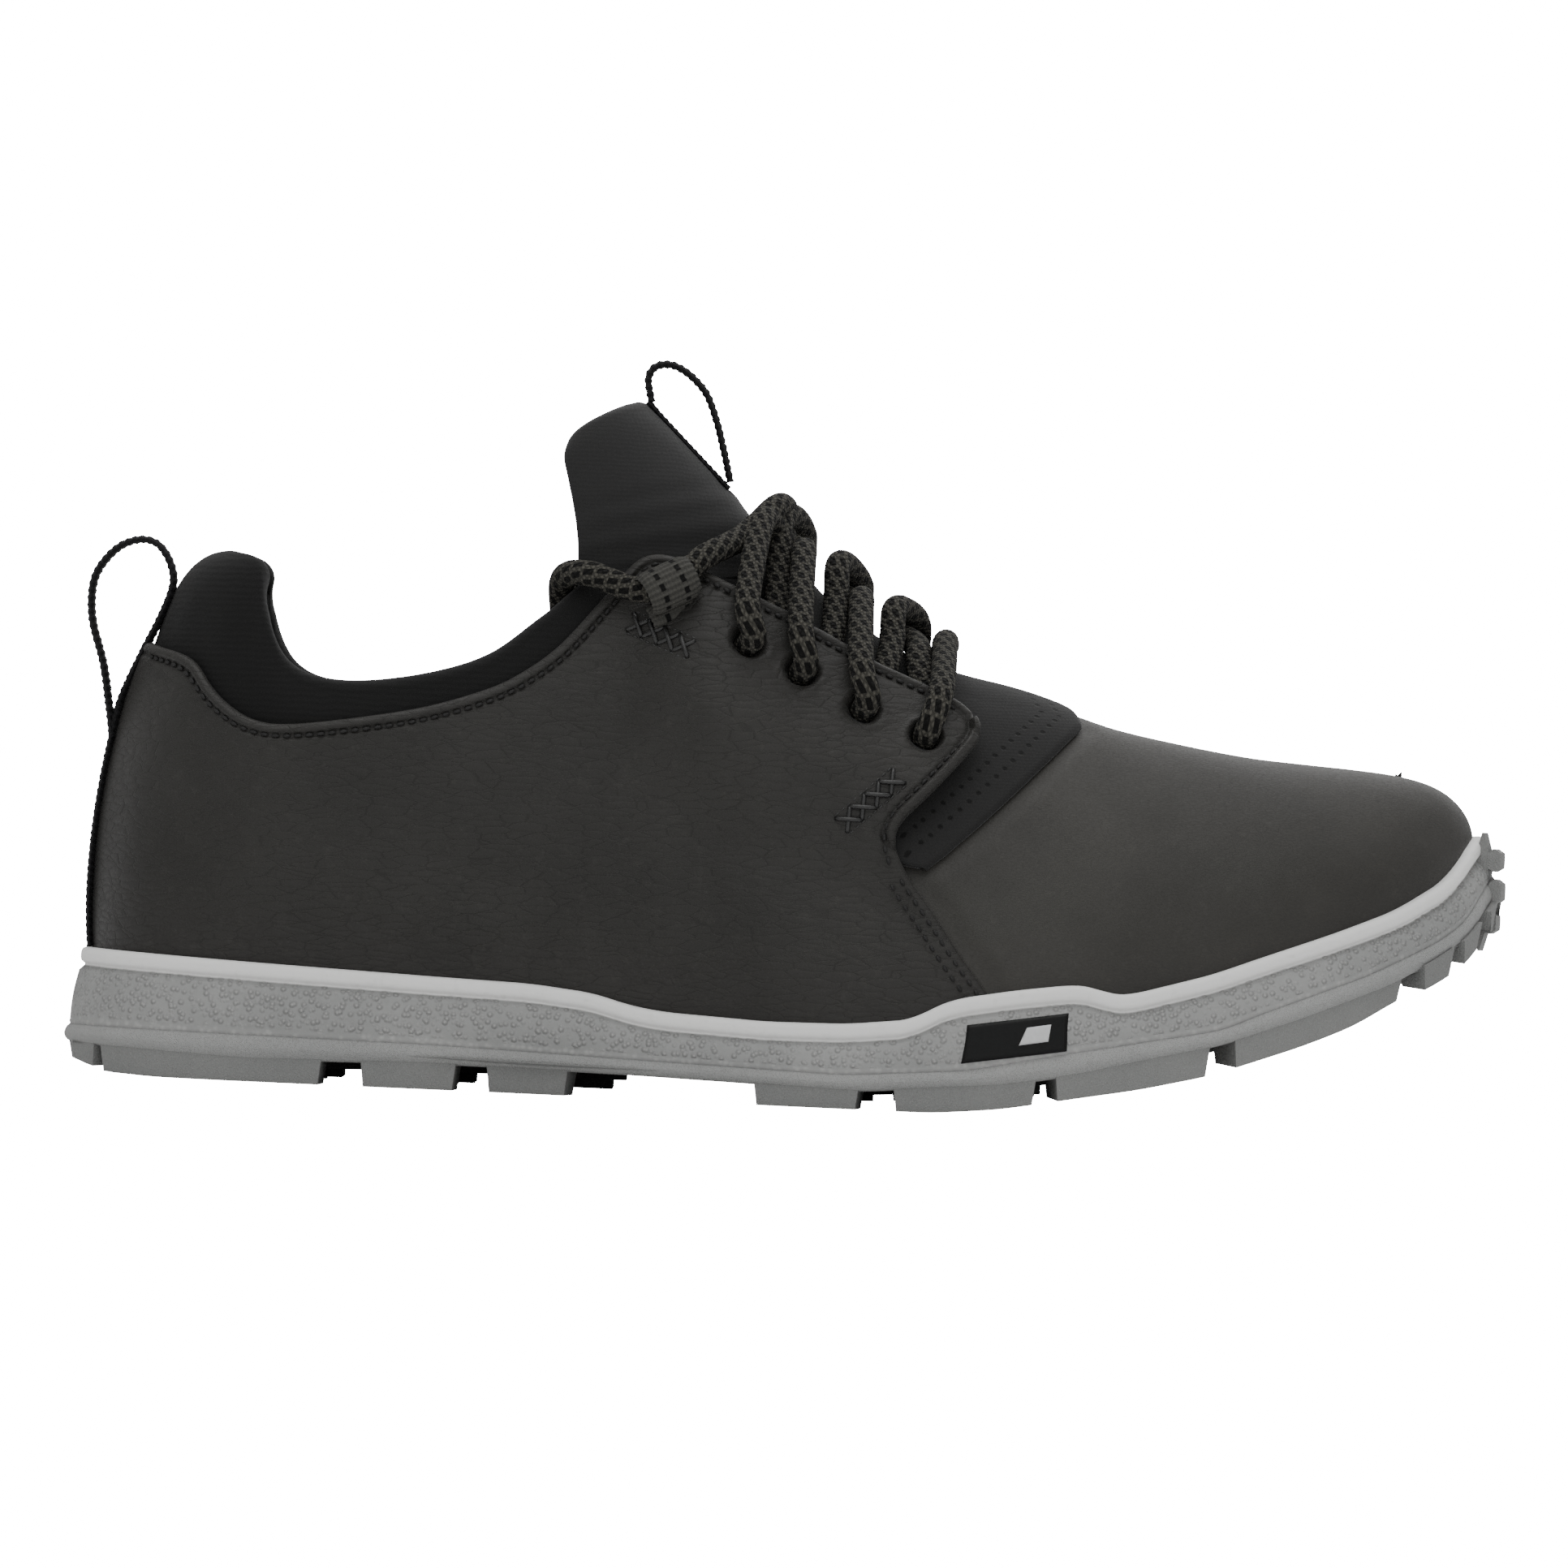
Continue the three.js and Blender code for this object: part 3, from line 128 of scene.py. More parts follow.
_sole_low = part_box("outsole")[0]
OFFSET = np.array([_sole_low[0] / MM - 0.5, _sole_low[1] / MM + 55.0, 0.0])


# ---------------------------------------------------------------- numbers
def ease(low, high, value):
    """0 below low, 1 above high, and smooth between them."""
    x = np.clip((value - low) / (high - low), 0.0, 1.0)
    return x * x * (3 - 2 * x)


def travel(points):
    """Length of a curve from its start, at each of its points."""
    return np.concatenate(([0], np.cumsum(np.linalg.norm(np.diff(points, axis=0), axis=1))))


def unit(vectors):
    return vectors / np.linalg.norm(vectors, axis=-1, keepdims=True)


def profile(table, x):
    xs, zs = zip(*table)
    return np.interp(x, xs, zs)


def soft_profile(table, x, width=3.0):
    """A side profile with its corners rounded over a few mm."""
    return sum(profile(table, x + width * k) for k in (-1, -0.5, 0, 0.5, 1)) / 5


def between(padded, s):
    """Smooth value at station s of a list padded by one at each end, by the Catmull-Rom rule."""
    last = len(padded) - 3
    i = np.clip(np.floor(s).astype(int), 0, last - 1)
    u = s - i
    a, b, c, d = (padded[i + k] for k in range(4))
    return 0.5 * (2 * b + (c - a) * u + (2 * a - 5 * b + 4 * c - d) * u ** 2
                  + (3 * b - a - 3 * c + d) * u ** 3)


def stations(column, s, mirror=1.0):
    """One column of the ribs at station s, mirrored past the heel and the toe."""
    values = RIBS[:, column]
    padded = np.concatenate(([mirror * values[1]], values, [mirror * values[-2]]))
    return between(padded, s)


def inset_outline(side, inset):
    """The plan outline of one side, moved in by inset at its own points."""
    points = np.array(PLAN[side], dtype=float)
    other = np.array(PLAN[-side], dtype=float)
    before = np.vstack([other[1], points[:-1]])
    after = np.vstack([points[1:], other[-2]])
    run = unit(after - before)
    return points + side * inset * np.stack([run[:, 1], -run[:, 0]], axis=1)


def edge(side, s, inset):
    """Plan point x, y at station s of one side, moved in by inset."""
    own = inset_outline(side, inset)
    other = inset_outline(-side, inset)
    padded = np.vstack([other[1], own, other[-2]])
    return between(padded[:, 0], s), between(padded[:, 1], s)


def one_side_skin(side, s, t):
    """The bootie's face on one side: a Bezier rib at station s from the foot, t = 0, to the top."""
    foot_x, foot_y = edge(side, s, FOOT_INSET)
    along, _ = edge(side, s, 0.0)
    lean, half, high_y = (side * stations(c, s, -1.0) for c in (0, 8, 4))
    mid = stations(9, s)
    half = np.where(s >= RIDGE_FROM, 0.0, half)
    foot = np.stack([foot_x, foot_y, profile(FEATHER, along)], -1)
    low = np.stack([foot_x + stations(1, s), foot_y + lean, stations(2, s)], -1)
    high = np.stack([stations(3, s), mid + high_y, stations(5, s)], -1)
    top = np.stack([stations(6, s), mid + half, stations(7, s)], -1)
    t = t[..., None]
    r = 1 - t
    return r ** 3 * foot + 3 * r * r * t * low + 3 * r * t * t * high + t ** 3 * top


def skin(side, s, t):
    """Points of the bootie's face in mm, for arrays of side (-1 or 1), station and height."""
    side, s, t = np.broadcast_arrays(*(np.asarray(value, float) for value in (side, s, t)))
    s = np.clip(s, 0, LAST)
    return np.where((side < 0)[..., None], one_side_skin(-1, s, t), one_side_skin(1, s, t))


def outward(side, s, t):
    """Outward directions of the bootie's face."""
    side, s, t = np.broadcast_arrays(*(np.asarray(value, float) for value in (side, s, t)))
    s = np.clip(s, 0.0, LAST)
    rise = t
    t = np.where(s > 21.5, np.minimum(t, 0.975), t)  # at the tip the ridge has no width to turn on
    step = 0.06  # stations either side, for the slope
    lo, hi = np.clip(s - step, 0, LAST), np.clip(s + step, 0, LAST)
    at_heel, at_toe = s - step < 0, s + step > LAST
    ahead = np.where(at_toe[..., None], skin(-side, 2 * LAST - (s + step), t), skin(side, hi, t))
    behind = np.where(at_heel[..., None], skin(-side, np.abs(s - step), t), skin(side, lo, t))
    up = skin(side, s, np.minimum(t + 0.01, 1.1)) - skin(side, s, t - 0.01)
    n = np.cross(ahead - behind, up) * -side[..., None]
    on_ridge = (s >= RIDGE_FROM - 0.3) & (rise > 0.9)
    n[..., 1] *= np.where(on_ridge, 1 - ease(0.9, 1.0, rise), 1.0)
    return unit(n)


def eyestay_lift(p):
    """How far the eyestay of the quarters stands off the bootie at points p."""
    above = (p[..., 2] - 99) * 0.93 + (p[..., 0] - 112) * 0.36
    return (EYESTAY_LIFT * ease(-34, -6, above) * ease(112, 138, p[..., 0])
            * (1 - ease(182, 206, p[..., 0])))


def layer(side, s, t, distance, lifted=False):
    """Points a distance outside the bootie's face; lifted adds the stand-off of the eyestay."""
    p = skin(side, s, t)
    n = outward(side, s, t)
    out = np.asarray(distance, float) + (eyestay_lift(p) if lifted else 0.0)
    return p + n * out[..., None] if np.ndim(out) else p + n * out


_tables = {}
TABLE_S, TABLE_T = 133, 45


def locate(side, targets, distance, lifted=False, axes=(0, 2), low=0.0, high=1.0):
    """Station and height where a layer shows at given coordinates, in side view or from above."""
    targets = np.atleast_2d(np.asarray(targets, float))
    axes = list(axes)
    key = (side, round(distance * 0.5), lifted, tuple(axes), low)
    if key not in _tables:
        grid_s, grid_t = np.meshgrid(np.linspace(0, LAST, TABLE_S), np.linspace(low, high, TABLE_T),
                                     indexing="ij")
        table = layer(side, grid_s, grid_t, round(distance * 0.5) * 2.0, lifted)[..., axes]
        _tables[key] = (grid_s.ravel(), grid_t.ravel(), table.reshape(-1, 2))
    all_s, all_t, table = _tables[key]
    pick = [int(np.argmin(np.sum((table - point) ** 2, axis=1))) for point in targets]
    s, t = all_s[pick], all_t[pick]
    wide_s, wide_t = 3 * LAST / (TABLE_S - 1), 3 * (high - low) / (TABLE_T - 1)
    off_s, off_t = (g.ravel() for g in np.meshgrid(np.linspace(-1, 1, 9), np.linspace(-1, 1, 9)))
    for _ in range(6):  # each round tries 9 x 9 places, three times closer together
        try_s = np.clip(s[:, None] + wide_s * off_s, 0, LAST)
        try_t = np.clip(t[:, None] + wide_t * off_t, low, high)
        miss = layer(side, try_s, try_t, distance, lifted)[..., axes] - targets[:, None, :]
        best = np.argmin(np.sum(miss ** 2, axis=-1), axis=1)
        rows = np.arange(len(targets))
        s, t = try_s[rows, best], try_t[rows, best]
        wide_s, wide_t = wide_s / 3, wide_t / 3
    return s, t


def spot(side, x, z, distance, lifted=True):
    """The point of a layer that shows at x and z in side view, and the outward direction there."""
    s, t = locate(side, [(x, z)], distance, lifted)
    return layer(side, s, t, distance, lifted)[0], outward(side, s, t)[0]


def resample(points, count):
    """A smooth curve through given points, at even steps of its length."""
    points = np.asarray(points, float)
    padded = np.vstack([2 * points[0] - points[1], points, 2 * points[-1] - points[-2]])
    s = np.linspace(0, len(points) - 1, 24 * len(points))
    fine = np.stack([between(padded[:, k], s) for k in range(points.shape[1])], -1)
    run = travel(fine)
    goal = np.linspace(0, run[-1], count)
    return np.stack([np.interp(goal, run, fine[:, k]) for k in range(fine.shape[1])], -1)


def crowd(u, strength=0.8):
    """Even steps from 0 to 1 made finer towards both ends."""
    return u - strength * np.sin(2 * np.pi * u) / (2 * np.pi)


# ---------------------------------------------------------------- mesh helpers
WELD = 1e-6  # metres


def finish_piece(name, bm, material, body, replaces=(), smooth=True):
    """Turns a bmesh into a named piece that rides a body and stands for some frame nodes."""
    bmesh.ops.remove_doubles(bm, verts=bm.verts, dist=WELD)
    bmesh.ops.dissolve_degenerate(bm, dist=1e-7, edges=bm.edges)
    bmesh.ops.recalc_face_normals(bm, faces=bm.faces)
    mesh = bpy.data.meshes.new(name)
    bm.to_mesh(mesh)
    bm.free()
    mesh.polygons.foreach_set("use_smooth", [smooth] * len(mesh.polygons))
    piece = bpy.data.objects.new(name, mesh)
    bpy.context.scene.collection.objects.link(piece)
    mesh.materials.append(material)
    if body:
        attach(piece, body)
    if replaces:
        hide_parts(*replaces)
    return piece


def close(bm):
    """Welds a wrapped grid along its seam and fills its open ends."""
    bmesh.ops.remove_doubles(bm, verts=bm.verts, dist=WELD)
    bmesh.ops.holes_fill(bm, edges=[e for e in bm.edges if e.is_boundary], sides=0)


def named_uv(bm, name):
    return bm.loops.layers.uv.get(name) or bm.loops.layers.uv.new(name)


def grid(bm, across, along, place, marks=None):
    """Adds a grid of faces, placed by a function of u and v that gives points in datum mm.

    Marks, a dict that the function fills, go into a second UV layer."""
    made = bmesh.ops.create_grid(bm, x_segments=across, y_segments=along, size=0.5)["verts"]
    uv = np.array([(v.co.x + 0.5, v.co.y + 0.5) for v in made])
    columns, rows = np.linspace(0, 1, across + 1), np.linspace(0, 1, along + 1)
    grid_u, grid_v = np.meshgrid(columns, rows, indexing="ij")
    placed = place(grid_u, grid_v)
    points = (placed + OFFSET) * MM
    along_u, along_v = lengths(placed, 0), lengths(placed, 1)
    i = np.rint(uv[:, 0] * across).astype(int)
    j = np.rint(uv[:, 1] * along).astype(int)
    layer_uv = named_uv(bm, "UVMap")
    mark_uv = named_uv(bm, "mark") if marks is not None else None
    where = {}
    for vert, a, b in zip(made, i, j):
        vert.co = points[a, b]
        where[vert] = (a, b)
    width, height = along_u[-1].mean(), along_v[:, -1].mean()
    for face in {f for vert in made for f in vert.link_faces}:
        for loop in face.loops:
            a, b = where[loop.vert]
            loop[layer_uv].uv = (a / across * width * MM, b / along * height * MM)
            if mark_uv is not None:
                loop[mark_uv].uv = [marks[key][a, b] * MM if key in marks else 0.0
                                    for key in ("edge", "run")]


def join_rings(bm, uv_layer, rings, run, around):
    """Skins a row of rings and closes its ends; around gives the second UV value of each corner."""
    size = len(rings[0])
    for k in range(len(rings) - 1):
        for n in range(size):
            m = (n + 1) % size
            face = bm.faces.new((rings[k][n], rings[k][m], rings[k + 1][m], rings[k + 1][n]))
            corners = [(run[k], around[n]), (run[k], around[n + 1]),
                       (run[k + 1], around[n + 1]), (run[k + 1], around[n])]
            for loop, (a, b) in zip(face.loops, corners):
                loop[uv_layer].uv = (a * MM, b)
    bm.faces.new(rings[0])
    bm.faces.new(list(reversed(rings[-1])))


def tube(bm, path, radius, sides=12, taper=None):
    """A closed round tube along a path in datum mm. Its UV runs in mm along and 0 to 1 around."""
    path = np.asarray(path, float)
    tangent = unit(np.gradient(path, axis=0))
    normal = np.zeros_like(path)
    start = np.cross(tangent[0], (0, 0, 1.0))
    if np.linalg.norm(start) < 0.1:
        start = np.cross(tangent[0], (0, 1.0, 0))
    normal[0] = unit(start)
    for k in range(1, len(path)):
        normal[k] = unit(normal[k - 1] - tangent[k] * np.dot(normal[k - 1], tangent[k]))
    binormal = np.cross(tangent, normal)
    run = travel(path)
    width = np.full(len(path), float(radius)) if taper is None else radius * np.asarray(taper)
    uv_layer = named_uv(bm, "UVMap")
    rings = []
    for k in range(len(path)):
        ring = bmesh.ops.create_circle(bm, segments=sides, radius=1.0)["verts"]
        for n, vert in enumerate(ring):
            a = 2 * math.pi * n / sides
            p = path[k] + width[k] * (math.cos(a) * normal[k] + math.sin(a) * binormal[k])
            vert.co = (p + OFFSET) * MM
        rings.append(ring)
    join_rings(bm, uv_layer, rings, run, [n / sides for n in range(sides + 1)])


def lengths(points, axis):
    """Length along each grid line from its start, for a grid of points."""
    step = np.linalg.norm(np.diff(points, axis=axis), axis=-1)
    run = np.cumsum(step, axis=axis)
    zero = np.zeros_like(np.take(run, [0], axis=axis))
    return np.concatenate([zero, run], axis=axis)


# ---------------------------------------------------------------- materials
class Tree:
    """A few shortcuts for wiring a node tree."""

    def __init__(self, tree):
        self.tree = tree

    def add(self, kind, inputs=None, **settings):
        node = self.tree.nodes.new(kind)
        for key, value in settings.items():
            setattr(node, key, value)
        for key, value in (inputs or {}).items():
            if isinstance(value, bpy.types.NodeSocket):
                self.tree.links.new(value, node.inputs[key])
            else:
                node.inputs[key].default_value = value
        return node

    def math(self, operation, a, b=0.0, c=0.0):
        return self.add("ShaderNodeMath", {0: a, 1: b, 2: c}, operation=operation).outputs[0]

    def times(self, a, b):
        return self.math("MULTIPLY", a, b)

    def plus(self, a, b):
        return self.math("ADD", a, b)

    def minus(self, a, b):
        return self.math("SUBTRACT", a, b)

    def span(self, value, low, high, out_low=0.0, out_high=1.0):
        node = self.add("ShaderNodeMapRange", {0: value, 1: low, 2: high, 3: out_low, 4: out_high})
        node.interpolation_type = "SMOOTHSTEP"
        return node.outputs[0]

    def mix(self, factor, a, b):
        node = self.add("ShaderNodeMix", data_type="RGBA")
        for key, value in ((0, factor), (6, a), (7, b)):
            if isinstance(value, bpy.types.NodeSocket):
                self.tree.links.new(value, node.inputs[key])
            else:
                node.inputs[key].default_value = value
        return node.outputs[2]

    def noise(self, vector, scale, detail=4.0, rough=0.5, output="Fac"):
        node = self.add("ShaderNodeTexNoise", {"Vector": vector, "Scale": scale, "Detail": detail,
                                               "Roughness": rough})
        return node.outputs[output]

    def cells(self, vector, scale, feature="F1"):
        node = self.add("ShaderNodeTexVoronoi", {"Vector": vector, "Scale": scale}, feature=feature)
        return node.outputs["Distance"]

    def vector(self, operation, a, b):
        return self.add("ShaderNodeVectorMath", {0: a, 1: b}, operation=operation).outputs[0]

    def marks(self, uv_map):
        return self.split(self.add("ShaderNodeUVMap", uv_map=uv_map).outputs[0])

    def use(self, tree, where, **values):
        """Outputs of a shared node group, at a place and with its numbers set."""
        node = self.add("ShaderNodeGroup", {"Vector": where, **values}, node_tree=tree)
        return node.outputs

    def bump(self, height, strength, distance, normal=None):
        inputs = {"Height": height, "Strength": strength, "Distance": distance * MM}
        if normal is not None:
            inputs["Normal"] = normal
        return self.add("ShaderNodeBump", inputs).outputs[0]

    def split(self, vector):
        node = self.add("ShaderNodeSeparateXYZ", {0: vector})
        return node.outputs[0], node.outputs[1], node.outputs[2]


def group(name, inputs, outputs, build):
    """A shared node group, made once."""
    if name in bpy.data.node_groups:
        return bpy.data.node_groups[name]
    tree = bpy.data.node_groups.new(name, "ShaderNodeTree")
    for label, kind, value in inputs:
        socket = tree.interface.new_socket(label, in_out="INPUT", socket_type=kind)
        if value is not None:
            socket.default_value = value
    for label, kind in outputs:
        tree.interface.new_socket(label, in_out="OUTPUT", socket_type=kind)
    start = tree.nodes.new("NodeGroupInput")
    end = tree.nodes.new("NodeGroupOutput")
    made = build(Tree(tree), start.outputs)
    for label, _ in outputs:
        tree.links.new(made[label], end.inputs[label])
    return tree


def grain_group():
    """Leather grain: thin creases that run along the hide, finer ones between them, and pores. The crease
    output is a mask for painted shade in the creases.
    """
    def build(t, ins):
        where = ins["Vector"]
        warp = t.noise(where, 210.0, 4.0, 0.6, "Color")
        offset = t.vector("SUBTRACT", warp, (0.5, 0.5, 0.5))
        shift = t.add("ShaderNodeVectorMath", {0: offset}, operation="SCALE")
        t.tree.links.new(ins["Warp"], shift.inputs["Scale"])
        moved = t.vector("ADD", where, shift.outputs[0])
        moved = t.vector("MULTIPLY", moved, (0.32, 0.5, 1.35))
        wide = t.cells(moved, ins["Pebble"], "DISTANCE_TO_EDGE")
        small = t.cells(moved, t.times(ins["Pebble"], 2.4), "DISTANCE_TO_EDGE")
        crease_patches = t.span(t.noise(where, 130.0, 3.0), 0.28, 0.55)
        # crease lines: pressed into the height, and also used as painted shade in the leather's colour
        crease = t.times(t.span(wide, 0.0, 0.05, 1.0, 0.0), crease_patches)
        fine = t.times(t.span(small, 0.0, 0.11, 1.0, 0.0), t.minus(1.15, crease_patches))
        pillow = t.span(wide, 0.0, 0.35)
        pores = t.noise(where, 3000.0, 3.0)
        height = t.minus(t.times(pillow, 0.25), t.times(crease, 0.45))
        height = t.minus(height, t.times(fine, 0.22))
        height = t.plus(height, t.times(pores, 0.12))
        return {"Height": height, "Crease": t.plus(crease, t.times(fine, 0.4))}

    return group("leather_grain", [("Vector", "NodeSocketVector", None),
                                   ("Pebble", "NodeSocketFloat", 300.0), ("Warp", "NodeSocketFloat", 0.002)],
                 [("Height", "NodeSocketFloat"), ("Crease", "NodeSocketFloat")], build)


def dust_group():
    """Slow light and dark clouds, for handling marks and dust."""
    def build(t, ins):
        wide = t.noise(ins["Vector"], 28.0, 5.0, 0.6)
        fine = t.noise(ins["Vector"], 420.0, 4.0, 0.6)
        return {"Cloud": t.span(wide, 0.32, 0.68), "Fleck": t.span(fine, 0.56, 0.72)}

    return group("surface_dust", [("Vector", "NodeSocketVector", None)],
                 [("Cloud", "NodeSocketFloat"), ("Fleck", "NodeSocketFloat")], build)


def shade(srgb):
    """Linear colour from 0-255 values on screen."""
    linear = (((c / 255 + 0.055) / 1.055) ** 2.4 if c > 10 else c / 255 / 12.92 for c in srgb)
    return tuple(linear) + (1.0,)


TURN = 6.283  # one cycle of a sine


def chosen(name):
    """A size in mm, or a linear colour, from the panel."""
    value = getattr(bpy.context.scene.golf_shoe, name)
    return value / MM if isinstance(value, float) else tuple(value)


def tint(name, level=1.0):
    return tuple(level * part for part in chosen(name)) + (1.0,)


_made = {}


def material(name, build):
    """A material made once, by a function that wires its main shader in object coordinates."""
    if name in _made:
        return _made[name]
    mat = bpy.data.materials.new(name)
    mat.use_nodes = True
    mat.node_tree.nodes.clear()
    t = Tree(mat.node_tree)
    out = t.add("ShaderNodeOutputMaterial")
    main = t.add("ShaderNodeBsdfPrincipled")
    t.tree.links.new(main.outputs[0], out.inputs[0])
    where = t.add("ShaderNodeTexCoord").outputs["Object"]
    build(t, main, where)
    _made[name] = mat
    return mat


def wire(t, main, **links):
    """Links or sets inputs of the main shader, each named with _ for its spaces."""
    for key, value in links.items():
        socket = main.inputs[key.replace("_", " ")]
        if isinstance(value, bpy.types.NodeSocket):
            t.tree.links.new(value, socket)
        else:
            socket.default_value = value


LEATHERS = {
    # level of the dark clouds, creases per metre, warp, bump, roughness range
    "quarter": (0.75, 470.0, 0.0013, 0.42, (0.44, 0.56)),
    "vamp": (0.75, 1900.0, 0.0012, 0.16, (0.5, 0.6)),
}


def leather(kind):
    dark, pebble, warp, strength, (smooth_r, rough_r) = LEATHERS[kind]

    def build(t, main, where):
        grain = t.use(grain_group(), where, Pebble=pebble, Warp=warp)
        dust = t.use(dust_group(), where)
        own = f"{kind}_colour"
        colour = t.mix(dust["Cloud"], tint(own, dark), tint(own))
        # painted shade: the colour is darkened along the creases of the grain, where shade would fall
        crease_shade = t.times(grain["Crease"], 0.22)
        colour = t.mix(crease_shade, colour, tint(own, 0.25 * dark))
        colour = t.mix(t.times(dust["Fleck"], 0.03), colour, shade((120, 118, 112)))
        rough = t.span(grain["Height"], -0.3, 0.5, rough_r, smooth_r)
        broad = t.bump(t.noise(where, 90.0, 3.0), 0.25, 1.0)
        normal = t.bump(grain["Height"], strength, 0.5, broad)
        wire(t, main, Base_Color=colour, Roughness=rough, Normal=normal)
        wire(t, main, Sheen_Weight=0.04, Sheen_Roughness=0.5, IOR=1.45)
        wire(t, main, Specular_IOR_Level=0.3)

    return material(f"leather_{kind}", build)


KNITS = {
    # dark and light colour, ribs per metre, rib strength, sheen
    "collar": ((13, 13, 13), (24, 24, 24), 760.0, 0.4, 0.07),
    "neoprene": ((26, 26, 26), (42, 42, 42), 1500.0, 0.2, 0.12),
    "tongue": ((28, 28, 28), (46, 46, 46), 1100.0, 0.2, 0.2),
    "footbed": ((38, 38, 39), (60, 60, 60), 1100.0, 0.4, 0.15),
}


def knitted(kind):
    dark, light, ribs, strength, sheen = KNITS[kind]

    def build(t, main, where):
        fuzz = t.noise(where, 3800.0, 4.0, 0.65)
        patch = t.noise(where, 60.0, 4.0)
        x, y, z = t.split(where)
        wobble = t.times(t.noise(where, 240.0, 2.0), 0.0012)
        height = t.plus(z, wobble)
        rows = t.math("SINE", t.times(height, ribs * TURN))
        along = t.math("SINE", t.times(t.plus(x, t.times(y, 0.6)), ribs * 4.2))
        weave = t.plus(t.times(rows, 0.5), t.times(along, 0.22))
        tone = t.plus(t.times(fuzz, 0.65), t.times(patch, 0.3))
        tone = t.plus(tone, t.times(weave, 0.16 * strength))
        colour = t.mix(tone, shade(dark), shade(light))
        relief = t.plus(t.times(weave, strength), t.times(fuzz, 0.6))
        if kind == "neoprene":
            gap, run, _ = t.marks("mark")
            dots = None
            for row, (at, shift) in enumerate(((0.0052, 0.0), (0.0088, 0.5))):
                step = t.plus(t.math("DIVIDE", run, 0.0030), shift)
                within = t.minus(t.math("FRACT", step), 0.5)
                du = t.times(within, 3.0)
                dv = t.times(t.minus(gap, at), 1000.0)
                r = t.math("SQRT", t.plus(t.times(du, du), t.times(dv, dv)))
                dot = t.span(r, 0.35, 0.75, 1.0, 0.0)
                dots = dot if dots is None else t.math("MAXIMUM", dots, dot)
            colour = t.mix(t.times(dots, 0.85), colour, shade((9, 9, 9)))
            relief = t.minus(relief, t.times(dots, 1.6))
        normal = t.bump(relief, 0.45, 0.28, t.bump(patch, 0.3, 0.9))
        wire(t, main, Base_Color=colour, Roughness=t.span(fuzz, 0.2, 0.8, 0.82, 0.95), Normal=normal)
        wire(t, main, Sheen_Weight=sheen, Sheen_Roughness=0.45)
        wire(t, main, Specular_IOR_Level=0.2)

    return material(f"knit_{kind}", build)


SOLES = {
    # dark and light colour, grain per metre, depth mm, roughness
    "wall": ((132, 133, 132), (178, 178, 176), 760.0, 0.55, 0.62),
    "bead": ((140, 141, 140), (172, 172, 170), 3200.0, 0.12, 0.7),
    "lug": ((118, 119, 118), (142, 142, 140), 2600.0, 0.08, 0.66),
}


def sole(kind):
    dark, light, grain, depth, rough = SOLES[kind]

    def build(t, main, where):
        dust = t.use(dust_group(), where)
        bumps = t.cells(where, grain, "F1")
        fine = t.noise(where, 5200.0, 3.0)
        height = t.plus(t.span(bumps, 0.08, 0.6, 1.0, 0.0), t.times(fine, 0.05))
        # painted shade: the colour is lighter on the pebble tops and darker between them, following the
        # relief; the slow clouds are dust
        tone = t.plus(t.times(height, 0.3), t.times(dust["Cloud"], 0.25))
        colour = t.mix(tone, shade(dark), shade(light))
        relief = height
        if kind == "wall":
            place, _, _ = t.marks("mark")
            rim = t.span(place, 0.545, 0.575)
            end = t.span(place, 0.13, 0.17)
            flat = t.math("MAXIMUM", rim, t.minus(1.0, end))
            colour = t.mix(rim, colour, tint("rim_colour"))
            # painted shade: the colour is darkened in the groove between the rim and the pebbled wall
            groove_shade = t.times(t.span(place, 0.49, 0.52), t.span(place, 0.545, 0.57, 1.0, 0.0))
            colour = t.mix(t.times(groove_shade, 0.2), colour, shade((90, 90, 90)))
            relief = t.times(height, t.minus(1.0, t.times(flat, 0.93)))
        colour = t.mix(t.times(dust["Fleck"], 0.08), colour, shade((90, 89, 85)))
        wire(t, main, Base_Color=colour, Roughness=t.span(fine, 0.2, 0.8, rough - 0.06, rough + 0.08),
             Normal=t.bump(relief, 1.0, depth))
        wire(t, main, Specular_IOR_Level=0.35)
        wire(t, main, Subsurface_Weight=0.03, Subsurface_Radius=(0.002, 0.002, 0.002))

    return material(f"sole_{kind}", build)


RUBBERS = {"tread_black": ((10, 10, 11), (24, 24, 25)), "tread_grey": ((44, 45, 46), (66, 67, 68)),
           "board": ((96, 88, 74), (132, 122, 104)), "stiffener": ((34, 33, 32), (52, 51, 49)),
           "foam": ((48, 48, 50), (70, 70, 72)), "backing": ((26, 26, 27), (42, 42, 43))}


def rubber(kind):
    dark, light = RUBBERS[kind]

    def build(t, main, where):
        dust = t.use(dust_group(), where)
        fine = t.noise(where, 2400.0, 4.0)
        colour = t.mix(t.plus(t.times(fine, 0.6), t.times(dust["Cloud"], 0.4)),
                       shade(dark), shade(light))
        wire(t, main, Base_Color=colour, Roughness=t.span(fine, 0.2, 0.8, 0.6, 0.78),
             Normal=t.bump(fine, 0.5, 0.12))

    return material(f"moulded_{kind}", build)


PLASTICS = {"badge": ((3, 3, 3), (9, 9, 9), 0.42), "emblem": ((176, 177, 178), (206, 207, 208), 0.4),
            "aglet": ((20, 20, 21), (34, 34, 35), 0.28)}


def plastic(kind):
    dark, light, rough = PLASTICS[kind]

    def build(t, main, where):
        fine = t.noise(where, 900.0, 4.0)
        colour = t.mix(fine, shade(dark), shade(light))
        wire(t, main, Base_Color=colour, Roughness=t.span(fine, 0.25, 0.75, rough - 0.05, rough + 0.1),
             Normal=t.bump(t.noise(where, 3000.0, 3.0), 0.3, 0.05))
        wire(t, main, Specular_IOR_Level=0.2 if kind == "badge" else 0.5)

    return material(f"plastic_{kind}", build)


